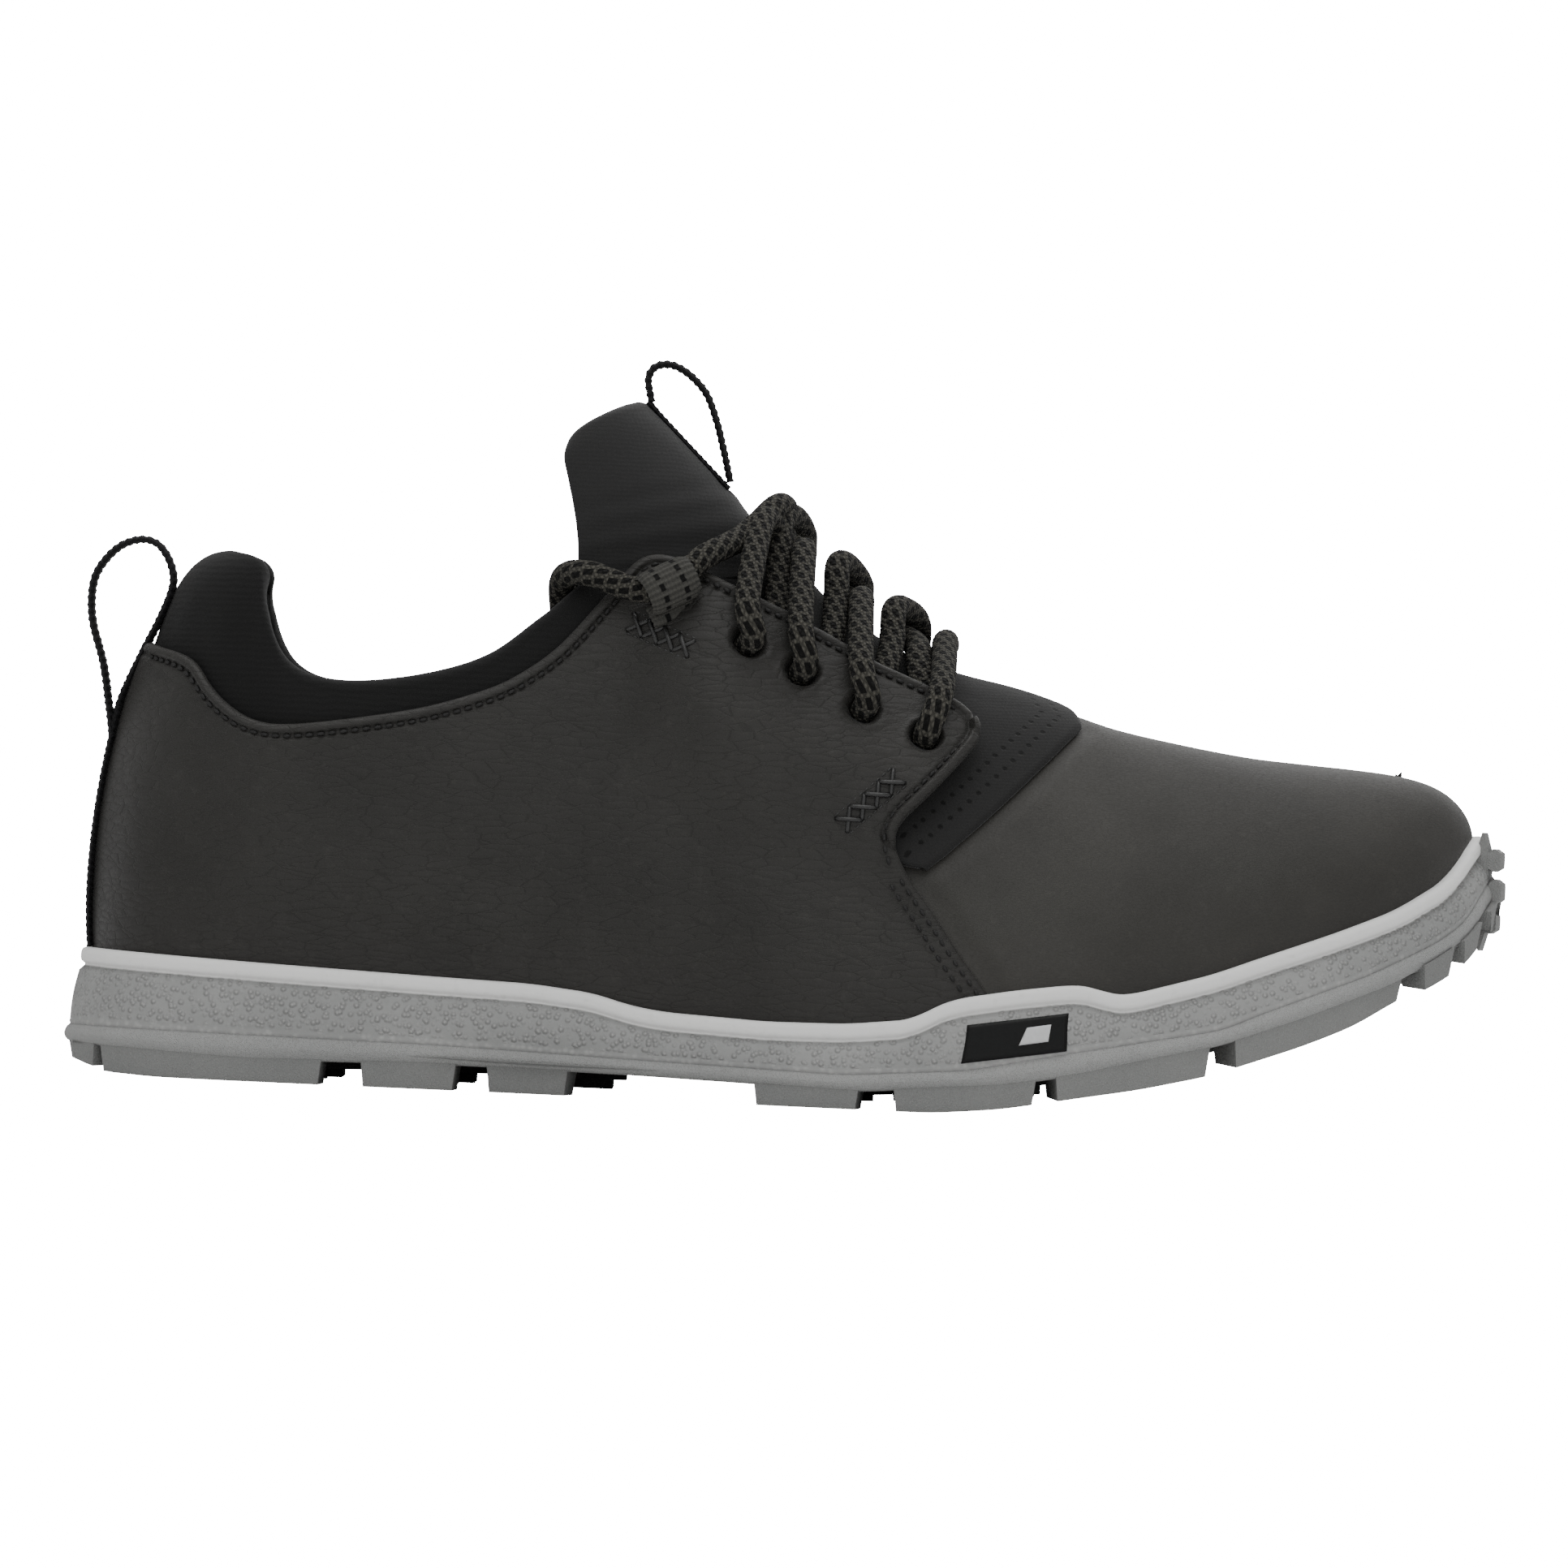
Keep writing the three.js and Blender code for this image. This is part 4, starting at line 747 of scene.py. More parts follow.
def thread(glossy=False):
    def build(t, main, where):
        twist = t.noise(where, 2600.0, 3.0)
        dark, light = ((14, 14, 14), (40, 40, 39)) if glossy else ((6, 6, 6), (22, 21, 20))
        wire(t, main, Base_Color=t.mix(twist, shade(dark), shade(light)),
             Roughness=t.span(twist, 0.2, 0.8, *((0.28, 0.45) if glossy else (0.6, 0.8))),
             Normal=t.bump(twist, 0.5, 0.1))

    return material("thread_glossy" if glossy else "thread_plain", build)


def braid():
    """Round braided cord: crossing strands with painted shade in the gaps between them, and dark flecks set
    at even places.
    """
    def build(t, main, where):
        along, around, _ = t.marks("UVMap")
        pitch = t.times(along, 1 / 0.0052)
        one = t.plus(t.times(around, 12.0), t.times(pitch, 4.0))
        two = t.minus(t.times(around, 12.0), t.times(pitch, 4.0))
        wave_a = t.math("ABSOLUTE", t.math("SINE", t.times(one, math.pi)))
        wave_b = t.math("ABSOLUTE", t.math("SINE", t.times(two, math.pi)))
        height = t.times(wave_a, wave_b)
        fibre = t.noise(where, 4200.0, 3.0)
        row = t.math("DIVIDE", along, 0.0028)
        turn = t.plus(t.times(around, 7.0),
                      t.times(t.math("FLOORED_MODULO", t.math("FLOOR", row), 2.0), 0.5))
        fall = t.minus(t.math("FRACT", row), 0.5)
        lean = t.plus(t.minus(t.math("FRACT", turn), 0.5), t.times(fall, 0.35))
        fleck = t.times(t.span(t.math("ABSOLUTE", lean), 0.25, 0.32, 1.0, 0.0),
                       t.span(t.math("ABSOLUTE", fall), 0.34, 0.41, 1.0, 0.0))
        # painted shade: the colour falls to about a fifth of the lace colour in the gaps between the strands
        tone = t.plus(t.times(height, 0.7), t.times(fibre, 0.3))
        colour = t.mix(tone, tint("lace_colour", 0.22), tint("lace_colour"))
        colour = t.mix(t.times(fleck, 0.95), colour, shade((2, 2, 2)))
        relief = t.plus(height, t.times(fibre, 0.2))
        wire(t, main, Base_Color=colour, Roughness=t.span(fibre, 0.2, 0.8, 0.72, 0.88),
             Normal=t.bump(relief, 0.9, 0.45))
        wire(t, main, Sheen_Weight=0.02, Sheen_Roughness=0.5)
        wire(t, main, Specular_IOR_Level=0.15)

    return material("cord_braided", build)


def webbing(kind):
    def build(t, main, where):
        along, across, _ = t.marks("UVMap")
        rib = t.math("SINE", t.times(along, TURN / (0.0015 if kind == "black" else 0.00115)))
        warp = t.math("SINE", t.times(across, TURN / 0.0009))
        fibre = t.noise(where, 4000.0, 3.0)
        height = t.plus(t.times(rib, 0.5), t.times(warp, 0.2))
        tone = t.plus(t.times(height, 0.35), fibre)
        dark, light = ((12, 12, 13), (34, 34, 35)) if kind == "black" else ((40, 40, 38), (74, 73, 69))
        colour = t.mix(tone, shade(dark), shade(light))
        if kind == "grey":
            wide = t.math("ABSOLUTE", across)
            line = t.times(t.span(wide, 0.0017, 0.0020), t.span(wide, 0.0028, 0.0031, 1.0, 0.0))
            dash = t.math("GREATER_THAN", t.math("FRACT", t.math("DIVIDE", along, 0.0023)), 0.42)
            colour = t.mix(t.times(line, dash), colour, shade((3, 3, 3)))
        wire(t, main, Base_Color=colour, Roughness=t.span(fibre, 0.2, 0.8, 0.7, 0.88),
             Normal=t.bump(t.plus(height, t.times(fibre, 0.3)), 0.6, 0.25))
        wire(t, main, Sheen_Weight=0.02, Sheen_Roughness=0.5)
        wire(t, main, Specular_IOR_Level=0.18)

    return material(f"webbing_{kind}", build)


def floor_material():
    """Pale floor that shows as plain white to the camera."""
    def build(t, main, where):
        fine = t.noise(where, 30.0, 3.0)
        colour = t.mix(fine, (0.86, 0.86, 0.86, 1), (0.88, 0.88, 0.88, 1))
        wire(t, main, Base_Color=colour, Roughness=0.9)
        seen = t.add("ShaderNodeLightPath").outputs["Is Camera Ray"]
        main.inputs["Emission Color"].default_value = (1, 1, 1, 1)
        t.tree.links.new(t.times(seen, 22.0), main.inputs["Emission Strength"])

    return material("floor_pale", build)


def nearest(points, curve):
    """Distance in mm from each point of a grid to a curve, and how far along the curve that is."""
    flat = points.reshape(-1, 3)
    run = travel(curve)
    gap, along = np.full(len(flat), 1e9), np.zeros(len(flat))
    for a, b, start, step in zip(curve[:-1], curve[1:], run[:-1], np.diff(run)):
        u = np.clip(((flat - a) @ (b - a)) / max(step * step, 1e-9), 0, 1)
        d = np.linalg.norm(flat - a - u[:, None] * (b - a), axis=1)
        closer = d < gap
        gap[closer], along[closer] = d[closer], (start + u * step)[closer]
    return gap.reshape(points.shape[:-1]), along.reshape(points.shape[:-1])


def rolled(gap, radius):
    """How far a folded edge of the given radius falls away, from 1 at the edge to 0."""
    return 1 - np.sqrt(1 - np.clip(1 - gap / radius, 0, 1) ** 2)


def groove(gap, at, width):
    """A soft line pressed in at a distance from an edge, 1 at its middle."""
    return np.exp(-((gap - at) / width) ** 2)


def swell(points, size, seed):
    """Slow unevenness of soft material, from -1 to 1."""
    flat = points.reshape(-1, 3) / size + seed
    return np.array([noise.noise(Vector(p)) for p in flat]).reshape(points.shape[:-1])


def thicken(piece, thickness):
    modifier = piece.modifiers.new("thickness", "SOLIDIFY")
    modifier.thickness = thickness * MM
    modifier.offset = -1.0
    modifier.use_even_offset = False
    return piece


def bevel(piece, width, segments):
    modifier = piece.modifiers.new("edges", "BEVEL")
    modifier.width, modifier.segments = width * MM, segments
    modifier.limit_method, modifier.angle_limit = "ANGLE", math.radians(35)
    return piece


def face_out(piece):
    """Turns an open sheet's faces away from the middle of the shoe."""
    mesh = piece.data
    middle = Vector((0.0, 0.0, 0.045))
    total = 0.0
    for face in mesh.polygons:
        away = face.center - middle
        away.x *= 0.25
        total += face.normal.dot(away.normalized()) * face.area
    if total < 0:
        mesh.flip_normals()
    return piece


def sheet_piece(name, columns, rows, place, material, body, thickness, replaces=(),
                marks=None, weld=0.0):
    """A panel: a fine grid on its outer face, with its thickness behind it."""
    bm = bmesh.new()
    grid(bm, columns, rows, place, marks)
    if weld:
        bmesh.ops.remove_doubles(bm, verts=bm.verts, dist=weld * MM)
    piece = finish_piece(name, bm, material, body, replaces)
    return thicken(face_out(piece), thickness)


# ---------------------------------------------------------------- the upper's seams and edges
TOPLINE = [(26.6, 86.4), (28.6, 83), (32.6, 79), (37.5, 76), (45, 75.1), (57.6, 76.6), (74.7, 79.9),
           (88.2, 84.5), (94.9, 88.2), (101.5, 93.3), (108.5, 101.4), (113.8, 108), (117.4, 112.6),
           (121.2, 114.2), (126.4, 113.4), (131.7, 111.2), (137.8, 108.4), (147.4, 104.2),
           (157.9, 99.1), (168.5, 93.6), (179, 89.2), (186, 86.1), (189.4, 83.6), (190.9, 80.6)]
WING_FRONT = [(190.9, 80.6), (190.4, 77.4), (184.9, 70.6), (180, 65.2), (175.6, 60.6), (174, 57.4),
              (174.6, 54), (177.7, 48), (182.7, 41.3), (188.2, 33.5), (194.6, 25.2), (199, 18)]
VAMP_REAR = [(211.5, 82.4), (207.6, 78.2), (203.7, 74), (197.1, 67.2), (190.5, 60.6), (183.9, 54.3),
             (178.1, 48.2), (183, 41.6), (188.6, 33.8), (195, 25.4), (199, 18)]
LACE_HOLES = [(179.4, 78.4), (166.3, 83.5), (153.1, 90.7), (141.8, 96.2)]
HEEL_TOP = 90.5
SEAM_GAP = 2.7
_edges = {}


def located_curve(side, path, distance, lifted, count):
    """Stations and heights of a curve that is drawn in side view."""
    s, t = locate(side, resample(path, count), distance, lifted)
    return np.stack([s, t], -1)


def soften(values, rounds):
    """Evens out a curve, with its ends kept."""
    values = values.copy()
    for _ in range(rounds):
        values[1:-1] = values[1:-1] * 0.5 + (values[:-2] + values[2:]) * 0.25
    return values


def quarter_edges(side):
    """Top, front, foot and heel lines of a quarter, as stations and heights."""
    if side in _edges:
        return _edges[side]
    heights = np.linspace(0.3, 1, 400)
    heel = skin(side, np.zeros_like(heights), heights)[:, 2]
    heel_t = float(np.interp(HEEL_TOP, heel, heights))
    top = located_curve(side, TOPLINE, SKIN_OUT, True, 150)
    lead_s = np.linspace(0, top[0, 0], 24)[:-1]
    u = lead_s / top[0, 0]
    lead = np.stack([lead_s, heel_t + (top[0, 1] - heel_t) * (u * u * (3 - 2 * u))], -1)
    top = soften(np.vstack([lead, top]), 4)
    front = located_curve(side, WING_FRONT, SKIN_OUT, True, 90)[::-1]
    front[0, 1] = 0.0
    front[-1] = top[-1]
    front = soften(front, 2)
    foot = np.stack([np.linspace(0, front[0, 0], 60), np.zeros(60)], -1)
    heel_line = np.stack([np.zeros(40), np.linspace(0, heel_t, 40)], -1)
    _edges[side] = (top, front, foot, heel_line)
    return _edges[side]


def along_curve(curve, u, side, distance, lifted=True):
    """Points of a curve of stations and heights at fractions u of its real length."""
    p = layer(side, curve[:, 0], curve[:, 1], distance, lifted)
    run = travel(p)
    run /= run[-1]
    return np.stack([np.interp(u, run, curve[:, k]) for k in (0, 1)], -1)


def coons(side, u, v):
    """Stations and heights filling a quarter between its four lines."""
    top, front, foot, heel = quarter_edges(side)
    t = along_curve(top, u, side, SKIN_OUT)
    b = along_curve(foot, u, side, SKIN_OUT)
    left = along_curve(heel, v, side, SKIN_OUT)
    right = along_curve(front, v, side, SKIN_OUT)
    u, v = u[..., None], v[..., None]
    corner = ((1 - u) * (1 - v) * foot[0] + u * (1 - v) * foot[-1] + (1 - u) * v * top[0]
              + u * v * top[-1])
    return (1 - v) * b + v * t + (1 - u) * left + u * right - corner


def finer(u, at, share):
    """Even steps from 0 to 1 with a share of them spent in the last part, from at to 1."""
    return np.where(u < 1 - share, u / (1 - share) * at, at + (u - 1 + share) / share * (1 - at))


def quarter(side):
    """One leather saddle, with folded edges, stitch grooves and punched lace holes."""
    top, front, _, _ = quarter_edges(side)
    top_line = layer(side, top[:, 0], top[:, 1], SKIN_OUT, True)
    front_line = layer(side, front[:, 0], front[:, 1], SKIN_OUT, True)
    knee = np.linalg.norm(front_line - spot(side, 174, 57.4, SKIN_OUT)[0], axis=1).argmin()
    upper_front = front_line[knee:]
    holes = [spot(side, x, z, SKIN_OUT)[0] for x, z in LACE_HOLES]
    marks = {}

    def place(u, v):
        st = coons(side, finer(u, 0.93, 0.16), finer(v, 0.87, 0.32))
        s, t = st[..., 0], st[..., 1]
        flat = layer(side, s, t, SKIN_OUT, True)
        gap_top, _ = nearest(flat, top_line)
        gap_front, _ = nearest(flat, front_line)
        gap_wing, _ = nearest(flat, upper_front)
        gap = np.minimum(gap_top, gap_front)
        out = SKIN_OUT + 0.24 * swell(flat, 17.0, 3.0 + side)
        out += 0.55 * ease(0.1, 1.2, s) * (1 - ease(1.6, 2.5, gap_top))
        out -= 0.4 * groove(gap_top, SEAM_GAP, 0.55)
        out += 1.1 * (1 - ease(1.8, 2.7, gap_wing)) - 0.45 * groove(gap_wing, SEAM_GAP + 0.1, 0.55)
        out -= 1.5 * rolled(gap, 1.5)
        for hole in holes:
            r = np.linalg.norm(flat - hole, axis=-1)
            out -= 3.2 * (1 - ease(2.6, 3.7, r)) - 0.3 * groove(r, 4.3, 0.6)
        marks["edge"] = gap
        return layer(side, s, t, 0.0, True) + outward(side, s, t) * out[..., None]

    return sheet_piece(f"quarter_{SIDES[side]}_leather", 230, 112, place, leather("quarter"), BODY,
                       1.5, [f"quarter_{SIDES[side]}"], marks)


def rear_edge(side):
    """The vamp's rear line as stations and heights, from the foot up."""
    curve = located_curve(side, VAMP_REAR, VAMP_OUT, False, 90)
    curve[0, 1], curve[-1, 1] = 1.0, 0.0
    return curve[np.argsort(curve[:, 1])]


def rear_station(rear, side, t):
    """Station of the vamp's rear line at height t, for an array of sides."""
    return np.where(side < 0, *(np.interp(t, rear[k][:, 1], rear[k][:, 0]) for k in (-1, 1)))


def vamp():
    """The smooth toe leather, in one piece over both sides."""
    rear = {side: rear_edge(side) for side in SIDES}
    lines = {side: layer(side, rear[side][:, 0], rear[side][:, 1], VAMP_OUT) for side in SIDES}

    def place(u, t):
        side = np.where(u < 0.5, -1, 1)
        edge_s = rear_station(rear, side, t)
        start = edge_s - 0.35
        s = LAST - (LAST - start) * np.abs(u - 0.5) * 2
        flat = layer(side, s, t, VAMP_OUT)
        gap = np.where(side < 0, *(nearest(flat, lines[k])[0] for k in (-1, 1)))
        gap = np.where(s < edge_s, 0.0, gap)
        out = VAMP_OUT + 0.12 * swell(flat, 21.0, 11.0)
        out -= 0.9 * (1 - ease(0.5, 6.0, gap))
        return skin(side, s, t) + outward(side, s, t) * out[..., None]

    return sheet_piece("vamp_microfibre", 330, 96, place, leather("vamp"), BODY, 1.2, ["vamp"],
                       weld=0.06)


def instep():
    """The soft panel of the instep: it fills the throat and shows as a triangle on each side."""
    rear = {side: rear_edge(side) for side in SIDES}
    lines = {side: layer(side, rear[side][:, 0] + 0.1, rear[side][:, 1], 4.0) for side in SIDES}
    low = {side: float(locate(side, [(178.5, 50.5)], VAMP_OUT)[1][0]) for side in SIDES}
    marks = {}

    def place(u, v):
        side = np.where(v < 0.5, -1, 1)
        rise = 1 - np.abs(v - 0.5) * 2
        bottom = np.where(side < 0, low[-1], low[1])
        t = bottom + (1 - bottom) * rise
        edge_s = rear_station(rear, side, t)
        s = RIDGE_FROM - 0.02 + (edge_s + 0.1 - RIDGE_FROM + 0.02) * finer(u, 0.8, 0.45)
        flat = skin(side, s, t) + outward(side, s, t) * 4.0
        gap, run = nearest(flat, lines[-1])
        gap_m, run_m = nearest(flat, lines[1])
        gap, run = np.where(side < 0, gap, gap_m), np.where(side < 0, run, run_m)
        out = PANEL_OUT + 2.0 * (1 - ease(1, 36, gap)) + 0.1 * swell(flat, 14.0, 5.0)
        out -= 1.6 * rolled(gap, 1.4)
        marks["edge"], marks["run"] = gap, run
        return skin(side, s, t) + outward(side, s, t) * out[..., None]

    return sheet_piece("instep_panel_neoprene", 150, 170, place, knitted("neoprene"), BODY, 1.2,
                       ["instep_panel"], marks)


COLLAR_END = 10.9
COLLAR_THICK = 6.2
OUTER_PART, RIM_PART = 0.42, 0.16  # shares of the section: outer face, then rim, then lining
LINING_FROM = 0.58


def collar():
    """The bootie's collar: its outer face, the padded rim and the lining down to the footbed."""
    def place(u, v):
        around = (u - 0.5) * 2 * COLLAR_END
        side = np.where(around < 0, -1, 1)
        s = np.abs(around)
        top = skin(side, s, np.ones_like(s))
        slope = np.linalg.norm(top - skin(side, s, np.full_like(s, 0.99)), axis=-1) / 0.01
        rim_high = 2.6
        edge_t = 1 - (0.3 + 2.1 * ease(1.6, 3.6, s)) / slope
        thick = chosen("collar_thickness") * (1 - 0.35 * ease(7, COLLAR_END, s))
        outer, lining = v < OUTER_PART, v >= LINING_FROM
        rim = (v >= OUTER_PART) & (v < LINING_FROM)
        a = np.clip((v - OUTER_PART) / RIM_PART, 0, 1) * np.pi
        t = np.where(outer, 0.25 + (edge_t - 0.25) * np.clip(v / OUTER_PART, 0, 1) ** 0.8, edge_t)
        t = np.where(lining, edge_t * (1 - (v - LINING_FROM) / OUTER_PART), t)
        p = skin(side, s, t)
        n = outward(side, s, t)
        up = skin(side, s, np.minimum(t + 0.005, 1.05)) - skin(side, s, t - 0.005)
        up = unit(up)
        down = (edge_t - t) * slope
        puff = 1.5 * np.exp(-((down - 7) / 6.5) ** 2) * (1 - ease(8.5, COLLAR_END, s))
        shift = np.where(outer, puff, 0.0)
        shift = np.where(rim, -thick / 2 + (thick / 2 + puff) * np.cos(a), shift)
        shift = np.where(lining, -thick + 2.2 * ease(18, 42, down) - puff * 0.8, shift)
        lift = np.where(rim, rim_high * np.sin(a), 0.0)
        return p + n * shift[..., None] + up * lift[..., None]

    return sheet_piece("bootie_collar_knit", 300, 120, place, knitted("collar"), BODY, 0.5,
                       ["bootie", "collar_foam", "collar_lining"])


def toe_lining():
    """The inside of the bootie forward of the mouth."""
    def place(u, v):
        side = np.where(u < 0.5, -1, 1)
        near = np.abs(u - 0.5) * 2
        s = LAST - (LAST - COLLAR_END + 0.1) * near
        return skin(side, s, v) - outward(side, s, v) * 3.4

    return sheet_piece("bootie_toe_lining", 120, 40, place, knitted("collar"), BODY, 0.8, ())


# ---------------------------------------------------------------- stitches
def stitch_row(bm, points, normals, pitch, length, width, sink=0.15):
    """Threads at even steps along a curve, each a short soft lozenge lying on the surface."""
    ahead_by = 0.6
    run = travel(points)
    count = max(2, int(run[-1] / pitch))
    for k in range(count):
        at = (k + 0.5) / count * run[-1]
        middle, ahead, behind, normal = (
            np.array([np.interp(at + d, run, source[:, c]) for c in range(3)])
            for d, source in ((0, points), (ahead_by, points), (-ahead_by, points), (0, normals)))
        x = Vector(ahead - behind).normalized()
        z = Vector(normal)
        z = (z - x * z.dot(x)).normalized()
        y = z.cross(x)
        turn = Matrix((x, y, z)).transposed().to_4x4()
        centre = Vector((middle - np.asarray(z) * sink + OFFSET) * MM)
        size = Matrix.Diagonal((length / 2 * MM, width / 2 * MM, width / 2 * MM, 1))
        bmesh.ops.create_uvsphere(bm, u_segments=8, v_segments=5, radius=1.0,
                                  matrix=Matrix.Translation(centre) @ turn @ size)


def inner_line(side, curve, gap, turn):
    """A curve of stations and heights moved in from a quarter's edge by a gap in mm."""
    p = layer(side, curve[:, 0], curve[:, 1], SKIN_OUT + 0.1, True)
    n = outward(side, curve[:, 0], curve[:, 1])
    apart = np.concatenate(([True], np.linalg.norm(np.diff(p, axis=0), axis=1) > 0.02))
    p, n = p[apart], n[apart]
    aside = np.cross(n, unit(np.gradient(p, axis=0))) * -side * turn
    return p + aside * gap, n


def seam_stitches(side):
    """The row along a quarter's top and wing, and the two rows down its front edge."""
    bm = bmesh.new()
    top, front, _, _ = quarter_edges(side)
    pitch = chosen("stitch_pitch")
    for curve, gap, turn in ((top[6:-3], SEAM_GAP, -1), (front[46:-4], SEAM_GAP + 0.1, 1)):
        line, n = inner_line(side, curve, gap, turn)
        stitch_row(bm, soften(line, 6)[2:-2], n[2:-2], pitch, 1.8, 0.85, 0.05)
    for gap in (2.0, 4.4):
        line, n = inner_line(side, front[4:46], gap, 1)
        stitch_row(bm, soften(line, 6), n, pitch, 1.7, 0.8, 0.05)
    return finish_piece(f"quarter_stitches_{SIDES[side]}", bm, thread(), BODY, ())


CROSS_STITCHES = {"upper": ((116.7, 99.4), (129.8, 94.2)), "lower": ((162.6, 58.8), (174.2, 69.6))}


def cross_stitch(side, name):
    """A bar of crossed glossy threads."""
    bm = bmesh.new()
    (x0, z0), (x1, z1) = CROSS_STITCHES[name]
    count = 4
    step = np.array([x1 - x0, z1 - z0]) / count
    aside = np.array([-step[1], step[0]]) / np.linalg.norm(step) * 1.9
    for k in range(count):
        a = np.array([x0, z0]) + step * k
        b = a + step
        for start, stop, rise in ((a - aside, b + aside, 0.35), (a + aside, b - aside, 0.75)):
            path = []
            for u in np.linspace(0, 1, 9):
                x, z = start + (stop - start) * u
                height = SKIN_OUT + rise * math.sin(math.pi * u) ** 0.5 - 0.2
                path.append(spot(side, x, z, height)[0])
            tube(bm, path, 0.52, 7)
    for sign in (-1, 1):
        path = [np.array([x0, z0]) + np.array([x1 - x0, z1 - z0]) * u + aside * sign * 1.25
                for u in np.linspace(0, 1, 24)]
        points, normals = zip(*(spot(side, x, z, SKIN_OUT + 0.05) for x, z in path))
        stitch_row(bm, np.array(points), np.array(normals), 1.5, 1.3, 0.5)
    return finish_piece(f"cross_stitch_threads_{name}_{SIDES[side]}", bm, thread(True), BODY,
                        [f"cross_stitch_{name}_{SIDES[side]}"])


# ---------------------------------------------------------------- lace, webbing and tongue
OVER = SKIN_OUT + LACE_D / 2 + 0.1
UNDER = BACK_OUT - LACE_D / 2 - 1.2
ON_PANEL = PANEL_OUT + LACE_D / 2 + 0.1
STACKED = ON_PANEL + LACE_D - 0.2
LOOP_AT = (124.4, 107.2)
LOOP_INNER = LACE_D / 2 + 0.7
IN_LOOP = SKIN_OUT + LOOP_INNER + 1.6
_halves = {}


def half_lace(side):
    """One half of the lace, from the middle of its bar to the tip tucked into the collar."""
    if side in _halves:
        return _halves[side]
    far, first = -side, side < 0

    def at(which, x, z, distance):
        return [spot(which, x, z, distance)[0]]

    def hole(which, number, inward):
        x, z = LACE_HOLES[number]
        p, n = spot(which, x, z, SKIN_IN)
        points = [p + n * (OVER - SKIN_IN - 0.4), p, p + n * (UNDER - SKIN_IN + 0.4)]
        return points if inward else points[::-1]

    def crossing(which, start, stop, middle, on_top, from_outside=True):
        a, b, c = ON_PANEL + 0.3, ON_PANEL, ON_PANEL
        if on_top:
            a, b, c = STACKED - 0.4, STACKED, STACKED - 0.8
        begin = level(start, which * 15, ON_PANEL + (4.6 if from_outside else 0.5))
        return [begin, level(start, which * 7.5, a), level(middle, 0, b), level(stop, -which * 7.5, c),
                level(stop, -which * 13.5, ON_PANEL + 0.6)]

    def level(x, y, distance):
        where = -1 if y < 0 else 1
        s, t = locate(where, [(x, y)], distance, False, axes=(0, 1), low=0.5)
        return layer(where, s, t, distance)[0]

    neck = STACKED if first else ON_PANEL
    points = [
        level(183.4, 0.01 * side, ON_PANEL + 2.2), level(183, side * 9, ON_PANEL + 3.6),
        *at(side, 182.4, 87.8, OVER + 0.9), *hole(side, 0, True), *at(side, 178.8, 86, UNDER + 0.3),
        *crossing(side, 177.4, 171.8, 174.4, not first, False),
        *at(far, 170, 90.4, UNDER + 0.3), *hole(far, 1, False), *at(far, 165.4, 92, OVER + 1.4),
        *crossing(far, 164.9, 159.6, 162.2, first),
        *at(side, 158.6, 96.6, UNDER + 0.3), *hole(side, 2, False), *at(side, 152.4, 99.2, OVER + 1.4),
        *crossing(side, 152.4, 147.2, 149.8, not first),
        *at(far, 146.6, 100.8, UNDER + 0.3), *hole(far, 3, False), *at(far, 141, 104.2, OVER + 1.4),
        level(143.6, far * 16, ON_PANEL + 7), level(147.4, far * 8, neck + 1.4),
        level(148, 0.01 * side, neck + 0.8), level(146, side * 9, neck + 2.2),
        np.array([139.6, side * 20.4, 118.4]), np.array([131.4, side * 32.6, 113.5]),
        *at(side, *LOOP_AT, IN_LOOP), *at(side, 117.4, 106.1, IN_LOOP + 0.2),
        np.array([109.4, side * 33.2, 108.8]), np.array([104.4, side * 28.6, 109.3]),
        np.array([101.9, side * 22.8, 107.6]), np.array([102.2, side * 18.4, 102.0]),
        *(spot(side, x, z, d)[0] for x, z, d in ((104, 93, -10.6), (112, 83, -9.8), (122, 74, -8.6),
                                                (133, 66, -8), (143, 59.4, -8)))]
    _halves[side] = np.array(points)
    return _halves[side]


def lace():
    """The whole lace, from tip to tip."""
    route = np.vstack([half_lace(-1)[::-1], half_lace(1)[1:]])
    bm = bmesh.new()
    tube(bm, soften(resample(route, 900), 4), chosen("lace_diameter") / 2, 18)
    return finish_piece("lace_braid", bm, braid(), BODY, ["lace"])


def aglet(side):
    """The moulded tip on one end of the lace."""
    half = half_lace(side)
    run = unit(half[-1] - half[-2])
    bm = bmesh.new()
    steps = np.array([0, 0.2, 0.6, 1.2, 9, 17, 19.4, 20.2, 20.6])
    taper = np.array([0.86, 0.96, 1, 1.0, 0.97, 0.93, 0.86, 0.7, 0.4])
    tube(bm, half[-1] - run * 0.4 + steps[:, None] * run, 2.35, 20, taper)
    return finish_piece(f"aglet_tip_{SIDES[side]}", bm, plastic("aglet"), BODY,
                        [f"aglet_{SIDES[side]}"])


